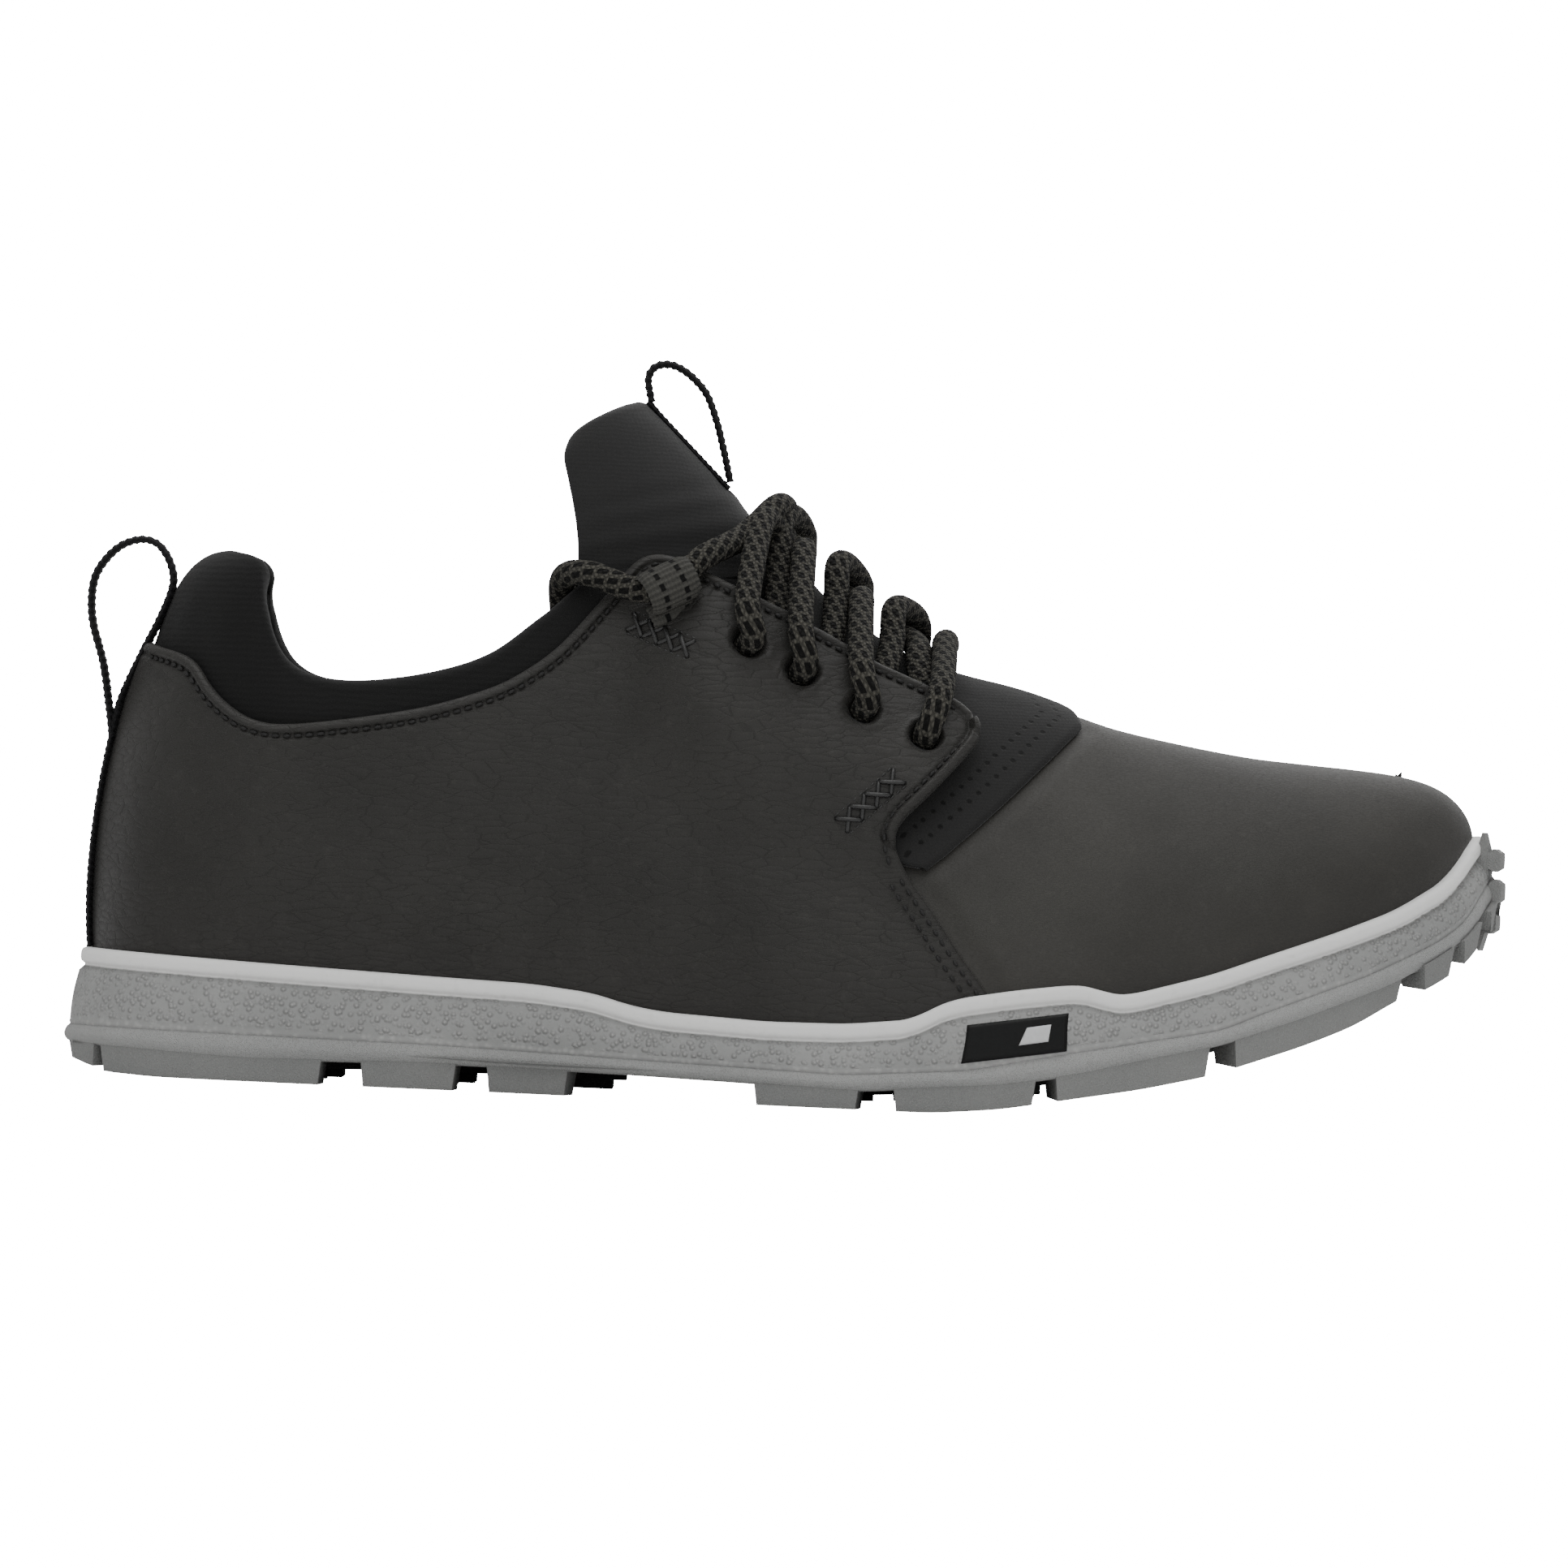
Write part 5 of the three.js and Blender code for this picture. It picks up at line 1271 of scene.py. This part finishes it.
def band(bm, path, across, width, thickness, ribs=0.0, pitch=1.3, serrate=0.0, columns=9):
    """A closed webbing strip along a path; across gives its crosswise direction at each point."""
    path = np.asarray(path, float)
    count = len(path)
    tangent = unit(np.gradient(path, axis=0))
    across = np.broadcast_to(np.asarray(across, float), path.shape)
    across = unit(across - tangent * np.sum(across * tangent, axis=1)[:, None])
    out = np.cross(tangent, across)
    run = travel(path)
    wave = np.cos(run / pitch * 2 * math.pi)
    half = width / 2 * (1 + serrate * wave / (width / 2))
    edge_u = np.linspace(-1, 1, columns)
    round_off = np.sqrt(np.clip(1 - np.abs(edge_u) ** 6, 0, 1))
    section = [(u, thickness / 2 * max(r, 0.12)) for u, r in zip(edge_u, round_off)]
    section += [(u, -h) for u, h in reversed(section)]
    uv_layer = named_uv(bm, "UVMap")
    rings = []
    for k in range(count):
        ring = bmesh.ops.create_circle(bm, segments=len(section), radius=1.0)["verts"]
        for vert, (u, h) in zip(ring, section):
            lift = h + math.copysign(ribs * 0.5 * (1 + wave[k]), h) * (1 - abs(u) ** 8)
            vert.co = (path[k] + across[k] * u * half[k] + out[k] * lift + OFFSET) * MM
        rings.append(ring)
    around = [u * width / 2 * MM for u, _ in section]
    join_rings(bm, uv_layer, rings, run, around + around[:1])


HEEL_LOOP = [(8.2, 70.6), (7.2, 77), (5.6, 86), (3.1, 94.3), (2.5, 99.6), (3, 104.2), (5, 108),
             (8.4, 111.3), (12.6, 112.7), (16, 111.8), (18.4, 108.8), (19.6, 104.9), (19.0, 101),
             (16.9, 95.6), (14.4, 90.2), (11.9, 84.6), (9.7, 79), (8.1, 73)]
TONGUE_LOOP = [(118.9, 146.4), (118, 150.8), (118.8, 153.2), (120.8, 154.3), (123.6, 154.1),
               (126.9, 152.2), (130.4, 148.5), (132.8, 142.8), (134.6, 136.6), (136.2, 130.2)]


def side_path(points, count):
    """A curve in the middle plane of the shoe."""
    flat = resample(points, count)
    return np.stack([flat[:, 0], np.zeros(count), flat[:, 1]], -1)


WEB_WIDTH = 11.0
TONGUE_STRAP = [(135.9, 128.6), (130.6, 133.8), (125.0, 139.3), (120.9, 143.4), (118.2, 146.3)]


def black_strip(name, path, body, node, thick, ribs, serrate):
    """Black ribbed webbing in the middle of the shoe."""
    bm = bmesh.new()
    band(bm, path, (0, 1, 0), WEB_WIDTH, thick, ribs, 1.5, serrate)
    return finish_piece(name, bm, webbing("black"), body, [node])


def flat_strap(name, path, body, node):
    return black_strip(name, path, body, node, 1.2, 0.16, 0.12)


def pull_loop(name, points, count, body, node):
    return black_strip(name, side_path(points, count), body, node, 1.3, 0.22, 0.16)


def heel_strap():
    heights = np.linspace(0, 1, 60)
    back = layer(-1, np.zeros(60), heights, SKIN_OUT + 0.35)
    back = back[(back[:, 2] > 26) & (back[:, 2] < 78)]
    return flat_strap("heel_strap_webbing", soften(resample(back, 160), 2), BODY, "heel_tape")


def lace_loop(side):
    """Ribbed webbing round the lace, coming out of the leather below the tab."""
    bm = bmesh.new()
    p, n = spot(side, *LOOP_AT, IN_LOOP)
    half = half_lace(side)
    k = int(np.argmin(np.linalg.norm(half - p, axis=1)))
    run = unit(half[k + 1] - half[k - 1])
    out = unit(n - run * n.dot(run))
    down = np.cross(run, out)
    if down[2] > 0:
        down = -down
    radius = LOOP_INNER + 0.6
    path = [p + down * 5.8 - out * (radius + 1.6), p + down * 4.6 - out * (radius + 0.1)]
    for a in np.linspace(-70, 250, 26):
        c = math.radians(a)
        path.append(p + radius * (math.cos(c) * down + math.sin(c) * out))
    path.append(p - down * 2.0 - out * (radius + 1.0))
    band(bm, resample(np.array(path), 120), run, 11.5, 1.1, 0.22, 1.15, 0.1)
    return finish_piece(f"lace_loop_webbing_{SIDES[side]}", bm, webbing("grey"), BODY,
                        [f"lace_loop_{SIDES[side]}"])


# Levels of the tongue: front x and z, rear x and z, half width at the rear.
TONGUE = np.array([
    (147, 111, 105.6, 105, 25.6), (143.6, 116.3, 105.2, 111.2, 25.4),
    (139.6, 123.8, 104.9, 116.4, 25), (134.3, 129.6, 103.9, 122.6, 24),
    (127.5, 136.6, 102.4, 128.9, 22.6), (121.5, 142.8, 101.2, 134, 21),
    (117.0, 147.0, 101.8, 137.2, 18.5)])


def tongue():
    """Padded tongue: a bowed pad with a rolled edge, swollen between its seams."""
    padded = np.vstack([2 * TONGUE[0] - TONGUE[1], TONGUE, 2 * TONGUE[-1] - TONGUE[-2]])
    rim = 2.1

    def place(u, v):
        # u runs across the outer face and back across the inner one, v from the foot to the top
        w = v * (len(TONGUE) - 1)
        front_x, front_z, rear_x, rear_z, half = (between(padded[:, c], w) for c in range(5))
        fan = np.where(u < 0.5, -1 + 4 * u, 3 - 4 * u)
        fan = np.sin(fan * np.pi / 2)
        angle = fan * np.pi / 2
        side_fall = np.sqrt(np.clip(1 - np.abs(fan) ** 5, 0, 1))
        end_fall = np.sqrt(np.clip(1 - np.clip((v - 0.93) / 0.07, 0, 1) ** 2, 0, 1))
        thick = 5.4 * side_fall * end_fall * (1 - 0.25 * ease(0.6, 1, v))
        quilt = 0.12 * np.cos(v * 2 * np.pi * 7) * (1 - ease(0.5, 0.62, v)) * side_fall
        inward = np.where(u < 0.5, rim - thick / 2 - quilt, rim + thick / 2)
        x = rear_x + (front_x - rear_x - inward) * np.cos(angle)
        y = (half - inward) * np.sin(angle)
        crown = np.clip(np.cos(angle), 0, 1) ** (1 - 0.42 * ease(0.6, 1.0, v))
        z = rear_z + (front_z - rear_z) * crown - inward * 0.25 - (1 - end_fall) * 0.6
        return np.stack([x, y, z], -1)

    bm = bmesh.new()
    grid(bm, 200, 120, place)
    close(bm)
    piece = finish_piece("tongue_pad", bm, knitted("tongue"), FLAP, ["tongue"])
    return piece


# ---------------------------------------------------------------- inside
def footbed():
    """Moulded insole with a dished heel, under its cloth cover."""
    def place(u, v):
        # u runs round the outline, v from the edge on top to the edge below
        around = (u - 0.5) * 2 * LAST
        side = np.where(around < 0, -1, 1)
        ex, ey = on_side(side, lambda k: edge(k, np.abs(around), 13.4))
        mid_x = np.clip(ex, 36, 262)
        mid_y = np.interp(mid_x, [36, 100, 160, 200, 262], [0, -2.5, -4, -1.5, 3.5])
        across = np.abs(1 - 2 * v)
        x = mid_x + (ex - mid_x) * across
        y = mid_y + (ey - mid_y) * across
        base = profile(FEATHER, x) + 1.6
        arch = 2.4 * across ** 2 * (y > 0) * np.exp(-((x - 105) / 32) ** 2)
        cup = 5.5 * across ** 3 * (1 - ease(90, 150, x)) + arch
        z = np.where(v < 0.5, base + 4.2 + cup, base + cup * 0.8)
        z = np.where(across > 0.985, (base + 2 + cup * 0.9), z)
        return np.stack([x, y, z], -1)

    bm = bmesh.new()
    grid(bm, 240, 40, place)
    return finish_piece("footbed_cover", bm, knitted("footbed"), FOOTBED,
                        ["insole_cover", "insole_foam"])


# ---------------------------------------------------------------- sole
def on_side(side, values):
    """Picks, for an array of sides, between the values that a function gives for each side."""
    return (np.where(side < 0, a, b) for a, b in zip(values(-1), values(1)))


def from_edge(side, s, inset, height):
    """Points moved straight in from the edge of the sole at station s of one side."""
    (ax, ay), (bx, by) = edge(side, s, 0.0), edge(side, s, 1.0)
    return np.stack([ax + (bx - ax) * inset, ay + (by - ay) * inset, height], -1)


def station_at(side, x):
    """Station where the edge of the sole is at length x."""
    s = np.linspace(0, LAST, 1200)
    along, _ = edge(side, s, 0.0)
    return np.interp(x, np.maximum.accumulate(along), s)


def ring_place(section):
    """Places a closed ring round the sole: section gives insets and heights for length x and v."""
    def place(u, v):
        around = (u - 0.5) * 2
        side, s = np.where(around < 0, -1, 1), np.abs(around) * LAST
        along = np.where(side < 0, edge(-1, s, 0.0)[0], edge(1, s, 0.0)[0])
        inset, height = section(along, v)
        return np.where((side < 0)[..., None], from_edge(-1, s, inset, height),
                        from_edge(1, s, inset, height))
    return place


def follow(nodes, v):
    """Inset and height at v along a section given by nodes of v, inset and height."""
    inset, height = np.zeros_like(v), np.zeros_like(v)
    for (v0, i0, h0), (v1, i1, h1) in zip(nodes[:-1], nodes[1:]):
        pick = (v >= v0) & (v <= v1)
        w = (v - v0) / (v1 - v0)
        inset = np.where(pick, i0 + (i1 - i0) * w, inset)
        height = np.where(pick, h0 + (h1 - h0) * w, height)
    return inset, height


RIM_TALL = 4.6


def wall():
    """The pebbled wall with its smooth rim on top and the groove between them."""
    def section(x, v):
        rim, low = soft_profile(RIM_TOP, x), soft_profile(BEAD_TOP, x)
        high = rim - RIM_TALL
        inside = SKIN_OUT + 8.6
        nodes = [(0.00, 9.0, low + 1.0), (0.06, 1.6, low - 0.6), (0.09, 1.1, low + 0.1),
                 (0.12, 1.25, low + 0.8), (0.50, 2.75, high - 0.3), (0.53, 3.3, high + 0.2),
                 (0.56, 3.85, high + 0.7), (0.59, 3.95, high + 1.05), (0.62, 3.5, high + 1.35),
                 (0.65, 3.1, high + 1.7), (0.69, 2.95, high + 2.3), (0.74, 3.0, high + 3.5),
                 (0.78, 3.35, high + 4.25), (0.82, 4.2, high + 4.6), (0.9, 6.4, high + 4.4),
                 (0.96, inside, high + 3.0), (1.0, 9.0, low + 1.0)]
        inset, height = follow(nodes, v)
        bulge = np.where((v > 0.12) & (v < 0.5), np.sin(np.pi * (v - 0.12) / 0.38), 0)
        return inset - 0.35 * bulge, height

    bm = bmesh.new()
    marks = {}

    def place(u, v):
        marks["edge"] = v / MM
        return ring_place(section)(u, v)

    grid(bm, 760, 64, place, marks)
    return finish_piece("sole_wall_pebbled", bm, sole("wall"), BODY, ["midsole"])


def bead():
    """The rounded bead along the foot of the wall, and the plate behind it."""
    def section(x, v):
        high, low = soft_profile(BEAD_TOP, x), soft_profile(BEAD_BOTTOM, x)
        tall = high - low
        nodes = [(0.0, 14.0, high - 0.6), (0.08, 2.6, high + 0.2), (0.14, 1.5, high - 0.1),
                 (0.2, 0.75, high - 0.18 * tall), (0.28, 0.3, high - 0.36 * tall),
                 (0.36, 0.1, high - 0.55 * tall), (0.44, 0.3, high - 0.74 * tall),
                 (0.52, 0.85, high - 0.9 * tall), (0.6, 1.8, low), (0.7, 3.6, low - 0.15),
                 (0.86, 14.0, low + 0.3), (1.0, 14.0, high - 0.6)]
        return follow(nodes, v)

    bm = bmesh.new()
    grid(bm, 700, 40, ring_place(section))
    return finish_piece("sole_bead_rubber", bm, sole("bead"), BODY, ["outsole"])


def sole_plate():
    """Bottom plate between the rows of grip blocks."""
    def place(u, v):
        x = 3 + 294 * finer(u, 0.86, 0.2)
        y_low, y_high = (edge(k, station_at(k, x), 3.0)[1] for k in (-1, 1))
        y = y_low + (y_high - y_low) * np.where(v < 0.5, 2 * v, 2 - 2 * v)
        low, high = soft_profile(BEAD_BOTTOM, x), soft_profile(BEAD_TOP, x)
        return np.stack([x, y, np.where(v < 0.5, low + 0.2, (low + high) / 2)], -1)

    bm = bmesh.new()
    grid(bm, 160, 60, place)
    close(bm)
    return finish_piece("sole_plate_rubber", bm, sole("lug"), BODY, (), smooth=False)


# Grip blocks: first and last length, then how far in they start, if not at the edge, and width.
EDGE_LUGS = [(8.5, 56.3, 15), (64.4, 84.4, 14), (90.7, 107.7, 12), (146.4, 168.4, 13),
             (175.6, 205.4, 16), (209.4, 241.6, 16), (246.7, 282.1, 14)]
INNER_LUGS = [(150, 164, 15, 11), (180, 190, 18, 13), (194, 204, 18, 13), (213, 224, 18, 12),
              (228, 239, 17, 10)]
TOE_LUGS = [(285.9, 292.3, -0.4, 8), (294.2, 298.0, -0.7, 7), (299.5, 300.9, -1.2, 6),
            (301.4, 302.05, -1.3, 6)]


def lug(bm, side, x0, x1, inset, width, drop=0.0, slant=0.7):
    """A grip block that follows the edge of the sole, narrower at its foot."""
    def place(u, v):
        # v round the section, u along the block with its ends drawn together
        x = x0 + (x1 - x0) * u
        k = np.floor(np.clip(v * 4, 0, 3.999)).astype(int)
        w = v * 4 - k
        depth = np.select([k == 0, k == 1, k == 2, k == 3], [w, 1 + 0 * w, 1 - w, 0 * w])
        across = np.select([k == 0, k == 1, k == 2, k == 3], [0 * w, w, 1 + 0 * w, 1 - w])
        x = x + np.where(u < 0.5, 1, -1) * slant * depth * np.abs(1 - 2 * u) ** 3
        s = station_at(side, x)
        i = inset + 0.5 * depth * (1 - across) + across * (width - 1.0 * depth)
        top = soft_profile(BEAD_BOTTOM, x) + 1.0
        low = soft_profile(LUG_BOTTOM, x) - drop
        z = top + (low - top) * depth
        return from_edge(side, s, i, z + 0.5 * depth * across * (low > 1.5))

    steps = max(6, int((x1 - x0) / 2.5))
    part = bmesh.new()
    grid(part, steps, 20, place)
    close(part)
    bmesh.ops.recalc_face_normals(part, faces=part.faces)
    mesh = bpy.data.meshes.new("block")
    part.to_mesh(mesh)
    part.free()
    bm.from_mesh(mesh)
    bpy.data.meshes.remove(mesh)


# Ribs of the toe bumper: middle height, tallness and inset. The first is the strip behind them.
TOE_RIBS = [(50.5, 25.0, 2.6), (44.0, 4.6, 0.4), (50.6, 5.2, -0.4), (57.2, 4.8, 0.0)]
RIB_THICK, RIBS_FROM = 2.8, 21.35


def grip_blocks():
    """All the grip blocks, and the ribbed bumper at the toe."""
    bm = bmesh.new()
    for side in (-1, 1):
        for x0, x1, width in EDGE_LUGS:
            lug(bm, side, x0, x1, 1.0, width)
        for x0, x1, inset, width in INNER_LUGS:
            lug(bm, side, x0, x1, inset, width)
        for x0, x1, inset, width in TOE_LUGS:
            lug(bm, side, x0, x1, inset, width, 0.2, 0.6)
        lug(bm, side, 1.2, 7.3, 0.8, 9, -0.4, 0.5)
    for z, tall, inset in TOE_RIBS:
        s = np.linspace(RIBS_FROM, LAST, 14)
        path = np.vstack([np.stack([*edge(-1, s, inset), np.full(14, z)], -1),
                          np.stack([*edge(1, s[::-1][1:], inset), np.full(13, z)], -1)])
        band(bm, resample(path, 50), (0, 0, 1), tall, RIB_THICK, columns=7)
    piece = finish_piece("sole_grip_blocks", bm, sole("lug"), BODY, (), smooth=False)
    return bevel(piece, 0.7, 3)


# Outlines in side view, how proud each stands, and its node, material, slot and fineness.
BADGES = {
    "badge_plate_moulded": ([(189.4, 10.4), (211.6, 13.9), (212.0, 22.1), (190.3, 18.7)], 1.1,
                            "sidewall_badge", "badge", "badge_black", 24),
    "badge_chevron_moulded": ([(201.2, 14.6), (207.6, 15.7), (208.2, 19.6), (203.0, 18.7)], 1.5,
                              "badge_emblem", "emblem", "badge_light", 12),
}


def badge(name):
    """A plate on the wall with a rounded edge: the dark badge, or the light bar on it."""
    shape, high, node, kind, slot, rows = BADGES[name]
    corners = np.array(shape, float)

    def place(u, v):
        u, v = crowd(u, 0.7), crowd(v, 0.7)
        a = corners[0] + (corners[1] - corners[0]) * u[..., None]
        b = corners[3] + (corners[2] - corners[3]) * u[..., None]
        xz = a + (b - a) * v[..., None]
        x, z = xz[..., 0], xz[..., 1]
        low_z, rim = profile(BEAD_TOP, x), profile(RIM_TOP, x)
        inset = 1.1 + (z - low_z) / (rim - RIM_TALL - low_z) * 1.95
        gap = np.minimum(np.minimum(u, 1 - u) * 21, np.minimum(v, 1 - v) * 8)
        fall = np.sqrt(np.clip(1 - np.clip(1 - gap / 0.9, 0, 1) ** 2, 0, 1))
        return from_edge(-1, station_at(-1, x), inset - high * fall + 0.3, z)

    bm = bmesh.new()
    grid(bm, 40, rows, place)
    piece = finish_piece(name, bm, plastic(kind), BODY, [node])
    return thicken(face_out(piece), 1.4)


# ---------------------------------------------------------------- carried-over CAD pieces
CARRIED = {
    "tread_insert_heel": "tread_black", "tread_insert_forefoot": "tread_grey", "strobel_board": "board",
    "heel_counter": "stiffener", "toe_puff": "stiffener", "vamp_backing": "backing",
    "saddle_backing_lateral": "backing", "saddle_backing_medial": "backing",
}


def dress_carried():
    """Gives the frame's own hidden parts their materials."""
    for node, kind in CARRIED.items():
        piece = bpy.data.objects[node]
        if not piece.material_slots:
            piece.data.materials.append(rubber(kind))
        for slot in piece.material_slots:
            slot.material = rubber(kind)
        if node.startswith("tread_insert"):
            bevel(piece, 0.4, 2)


# ---------------------------------------------------------------- stage
def area_light(name, place, aim, size, power, size_y=None):
    data = bpy.data.lights.new(name, "AREA")
    data.shape = "RECTANGLE"
    data.size, data.size_y = size, size_y or size
    data.energy = power
    lamp = bpy.data.objects.new(name, data)
    bpy.context.scene.collection.objects.link(lamp)
    lamp.location = place
    lamp.rotation_euler = (Vector(aim) - Vector(place)).to_track_quat("-Z", "Y").to_euler()


def make_camera():
    data = bpy.data.cameras.new("camera")
    data.sensor_width, data.lens = 36.0, 320.0
    data.clip_start, data.clip_end = 0.05, 60.0
    camera = bpy.data.objects.new("camera", data)
    bpy.context.scene.collection.objects.link(camera)
    aim = (np.array([150.3, 0.0, 66.9]) + OFFSET) * MM
    away = data.lens * 0.3313 / data.sensor_width
    place = Matrix.Translation(Vector((aim[0], aim[1] - away, aim[2])))
    camera.matrix_world = place @ Matrix.Rotation(math.radians(90), 4, "X") @ Matrix.Rotation(
        math.radians(2.47), 4, "Z")
    bpy.context.scene.camera = camera


def make_floor():
    """A pale floor that sweeps up behind the shoe."""
    flat_part, crease_shade, near, radius = 0.62, 5.4, -3.2, 1.6
    bm = bmesh.new()
    bmesh.ops.create_grid(bm, x_segments=2, y_segments=60, size=1.0)
    for vert in bm.verts:
        run = (vert.co.y + 1) / 2
        angle = max(0.0, run - flat_part) / (1 - flat_part) * math.pi / 2
        y = near + min(run, flat_part) / flat_part * crease_shade
        vert.co = (vert.co.x * 4.0, y + radius * math.sin(angle), radius * (1 - math.cos(angle)))
    finish_piece("floor_sweep", bm, floor_material(), None)


def make_lights():
    area_light("key", (-0.25, -0.9, 1.35), (0, 0, 0.06), 1.1, 6.8)
    area_light("top", (0.1, 0.1, 1.5), (0, 0, 0.05), 1.6, 10.5, 1.2)
    area_light("front", (0.3, -1.9, 0.5), (0, 0, 0.06), 1.4, 4.4)
    area_light("back", (0.2, 1.3, 0.9), (0, 0, 0.08), 1.2, 5.0)
    world = bpy.data.worlds.new("studio")
    world.use_nodes = True
    world.node_tree.nodes["Background"].inputs[0].default_value = (1, 1, 1, 1)
    world.node_tree.nodes["Background"].inputs[1].default_value = 0.6
    bpy.context.scene.world = world


# ---------------------------------------------------------------- add-on
def colour_property(name, description, srgb):
    return bpy.props.FloatVectorProperty(name=name, description=description, default=shade(srgb)[:3],
                                         min=0.0, max=1.0, size=3, subtype="COLOR")


class ShoeSettings(bpy.types.PropertyGroup):
    lace_diameter: bpy.props.FloatProperty(
        name="Lace diameter", description="Thickness of the round lace", default=LACE_D * MM,
        min=0.003, max=0.008, unit="LENGTH", subtype="DISTANCE")
    stitch_pitch: bpy.props.FloatProperty(
        name="Stitch pitch", description="Length of one stitch on the seams", default=0.0024,
        min=0.0015, max=0.005, unit="LENGTH", subtype="DISTANCE")
    collar_thickness: bpy.props.FloatProperty(
        name="Collar thickness", description="Thickness of the padded collar",
        default=COLLAR_THICK * MM, min=0.003, max=0.01, unit="LENGTH", subtype="DISTANCE")
    quarter_colour: colour_property(
        "Saddle colour", "Colour of the grained saddle leather", (43, 42, 40))
    vamp_colour: colour_property("Toe colour", "Colour of the smooth toe leather", (54, 53, 50))
    lace_colour: colour_property("Lace colour", "Colour of the lace between its flecks", (86, 84, 77))
    rim_colour: colour_property("Rim colour", "Colour of the smooth rim of the sole", (228, 228, 226))


class SHOE_OT_sole(bpy.types.Operator):
    """Wall, bead, plate, grip blocks and badge of the sole"""
    bl_idname = "golf_shoe.sole"
    bl_label = "Sole"

    def execute(self, context):
        wall()
        bead()
        sole_plate()
        grip_blocks()
        for name in BADGES:
            badge(name)
        return {"FINISHED"}


class SHOE_OT_uppers(bpy.types.Operator):
    """Collar, vamp, instep panel and quarters"""
    bl_idname = "golf_shoe.uppers"
    bl_label = "Upper"

    def execute(self, context):
        collar()
        toe_lining()
        vamp()
        instep()
        for side in SIDES:
            quarter(side)
        return {"FINISHED"}


class SHOE_OT_seams(bpy.types.Operator):
    """Stitches of the quarters and the crossed threads"""
    bl_idname = "golf_shoe.seams"
    bl_label = "Seams"

    def execute(self, context):
        for side in SIDES:
            seam_stitches(side)
            for name in CROSS_STITCHES:
                cross_stitch(side, name)
        return {"FINISHED"}


class SHOE_OT_straps(bpy.types.Operator):
    """Webbing down the heel and its pull loop"""
    bl_idname = "golf_shoe.straps"
    bl_label = "Heel strap and loop"

    def execute(self, context):
        heel_strap()
        pull_loop("heel_pull_webbing", HEEL_LOOP, 240, BODY, "heel_pull_loop")
        return {"FINISHED"}


class SHOE_OT_tongue(bpy.types.Operator):
    """Padded tongue with its webbing and pull loop"""
    bl_idname = "golf_shoe.tongue"
    bl_label = "Tongue"

    def execute(self, context):
        tongue()
        flat_strap("tongue_strap_webbing", side_path(TONGUE_STRAP, 90), FLAP, "tongue_tape")
        pull_loop("tongue_pull_webbing", TONGUE_LOOP, 150, FLAP, "tongue_pull_loop")
        return {"FINISHED"}


class SHOE_OT_lace(bpy.types.Operator):
    """Lace, its tips and the webbing loops that hold it"""
    bl_idname = "golf_shoe.lace"
    bl_label = "Lace"

    def execute(self, context):
        lace()
        for side in SIDES:
            aglet(side)
            lace_loop(side)
        return {"FINISHED"}


class SHOE_OT_inside(bpy.types.Operator):
    """Footbed, and the finish of the parts kept from the frame"""
    bl_idname = "golf_shoe.inside"
    bl_label = "Inside"

    def execute(self, context):
        footbed()
        dress_carried()
        return {"FINISHED"}


class SHOE_OT_stage(bpy.types.Operator):
    """Camera, lights and floor"""
    bl_idname = "golf_shoe.stage"
    bl_label = "Stage"

    def execute(self, context):
        make_camera()
        make_lights()
        make_floor()
        return {"FINISHED"}


OPERATORS = (SHOE_OT_stage, SHOE_OT_sole, SHOE_OT_uppers, SHOE_OT_seams, SHOE_OT_straps, SHOE_OT_tongue,
             SHOE_OT_lace, SHOE_OT_inside)


class SHOE_PT_panel(bpy.types.Panel):
    """Lists the pieces of the shoe"""
    bl_label = "Golf Shoe"
    bl_idname = "SHOE_PT_panel"
    bl_space_type = "VIEW_3D"
    bl_region_type = "UI"
    bl_category = "Golf Shoe"

    def draw(self, context):
        settings = context.scene.golf_shoe
        for name in settings.bl_rna.properties.keys():
            if name not in ("rna_type", "name"):
                self.layout.prop(settings, name)
        for kind in OPERATORS:
            self.layout.operator(kind.bl_idname)


def register():
    for kind in (ShoeSettings, *OPERATORS, SHOE_PT_panel):
        bpy.utils.register_class(kind)
    bpy.types.Scene.golf_shoe = bpy.props.PointerProperty(type=ShoeSettings)


def unregister():
    del bpy.types.Scene.golf_shoe
    for kind in reversed((ShoeSettings, *OPERATORS, SHOE_PT_panel)):
        bpy.utils.unregister_class(kind)


def main():
    register()
    for kind in OPERATORS:
        group_name, call = kind.bl_idname.split(".")
        getattr(getattr(bpy.ops, group_name), call)()
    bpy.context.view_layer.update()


if __name__ == "__main__":
    main()
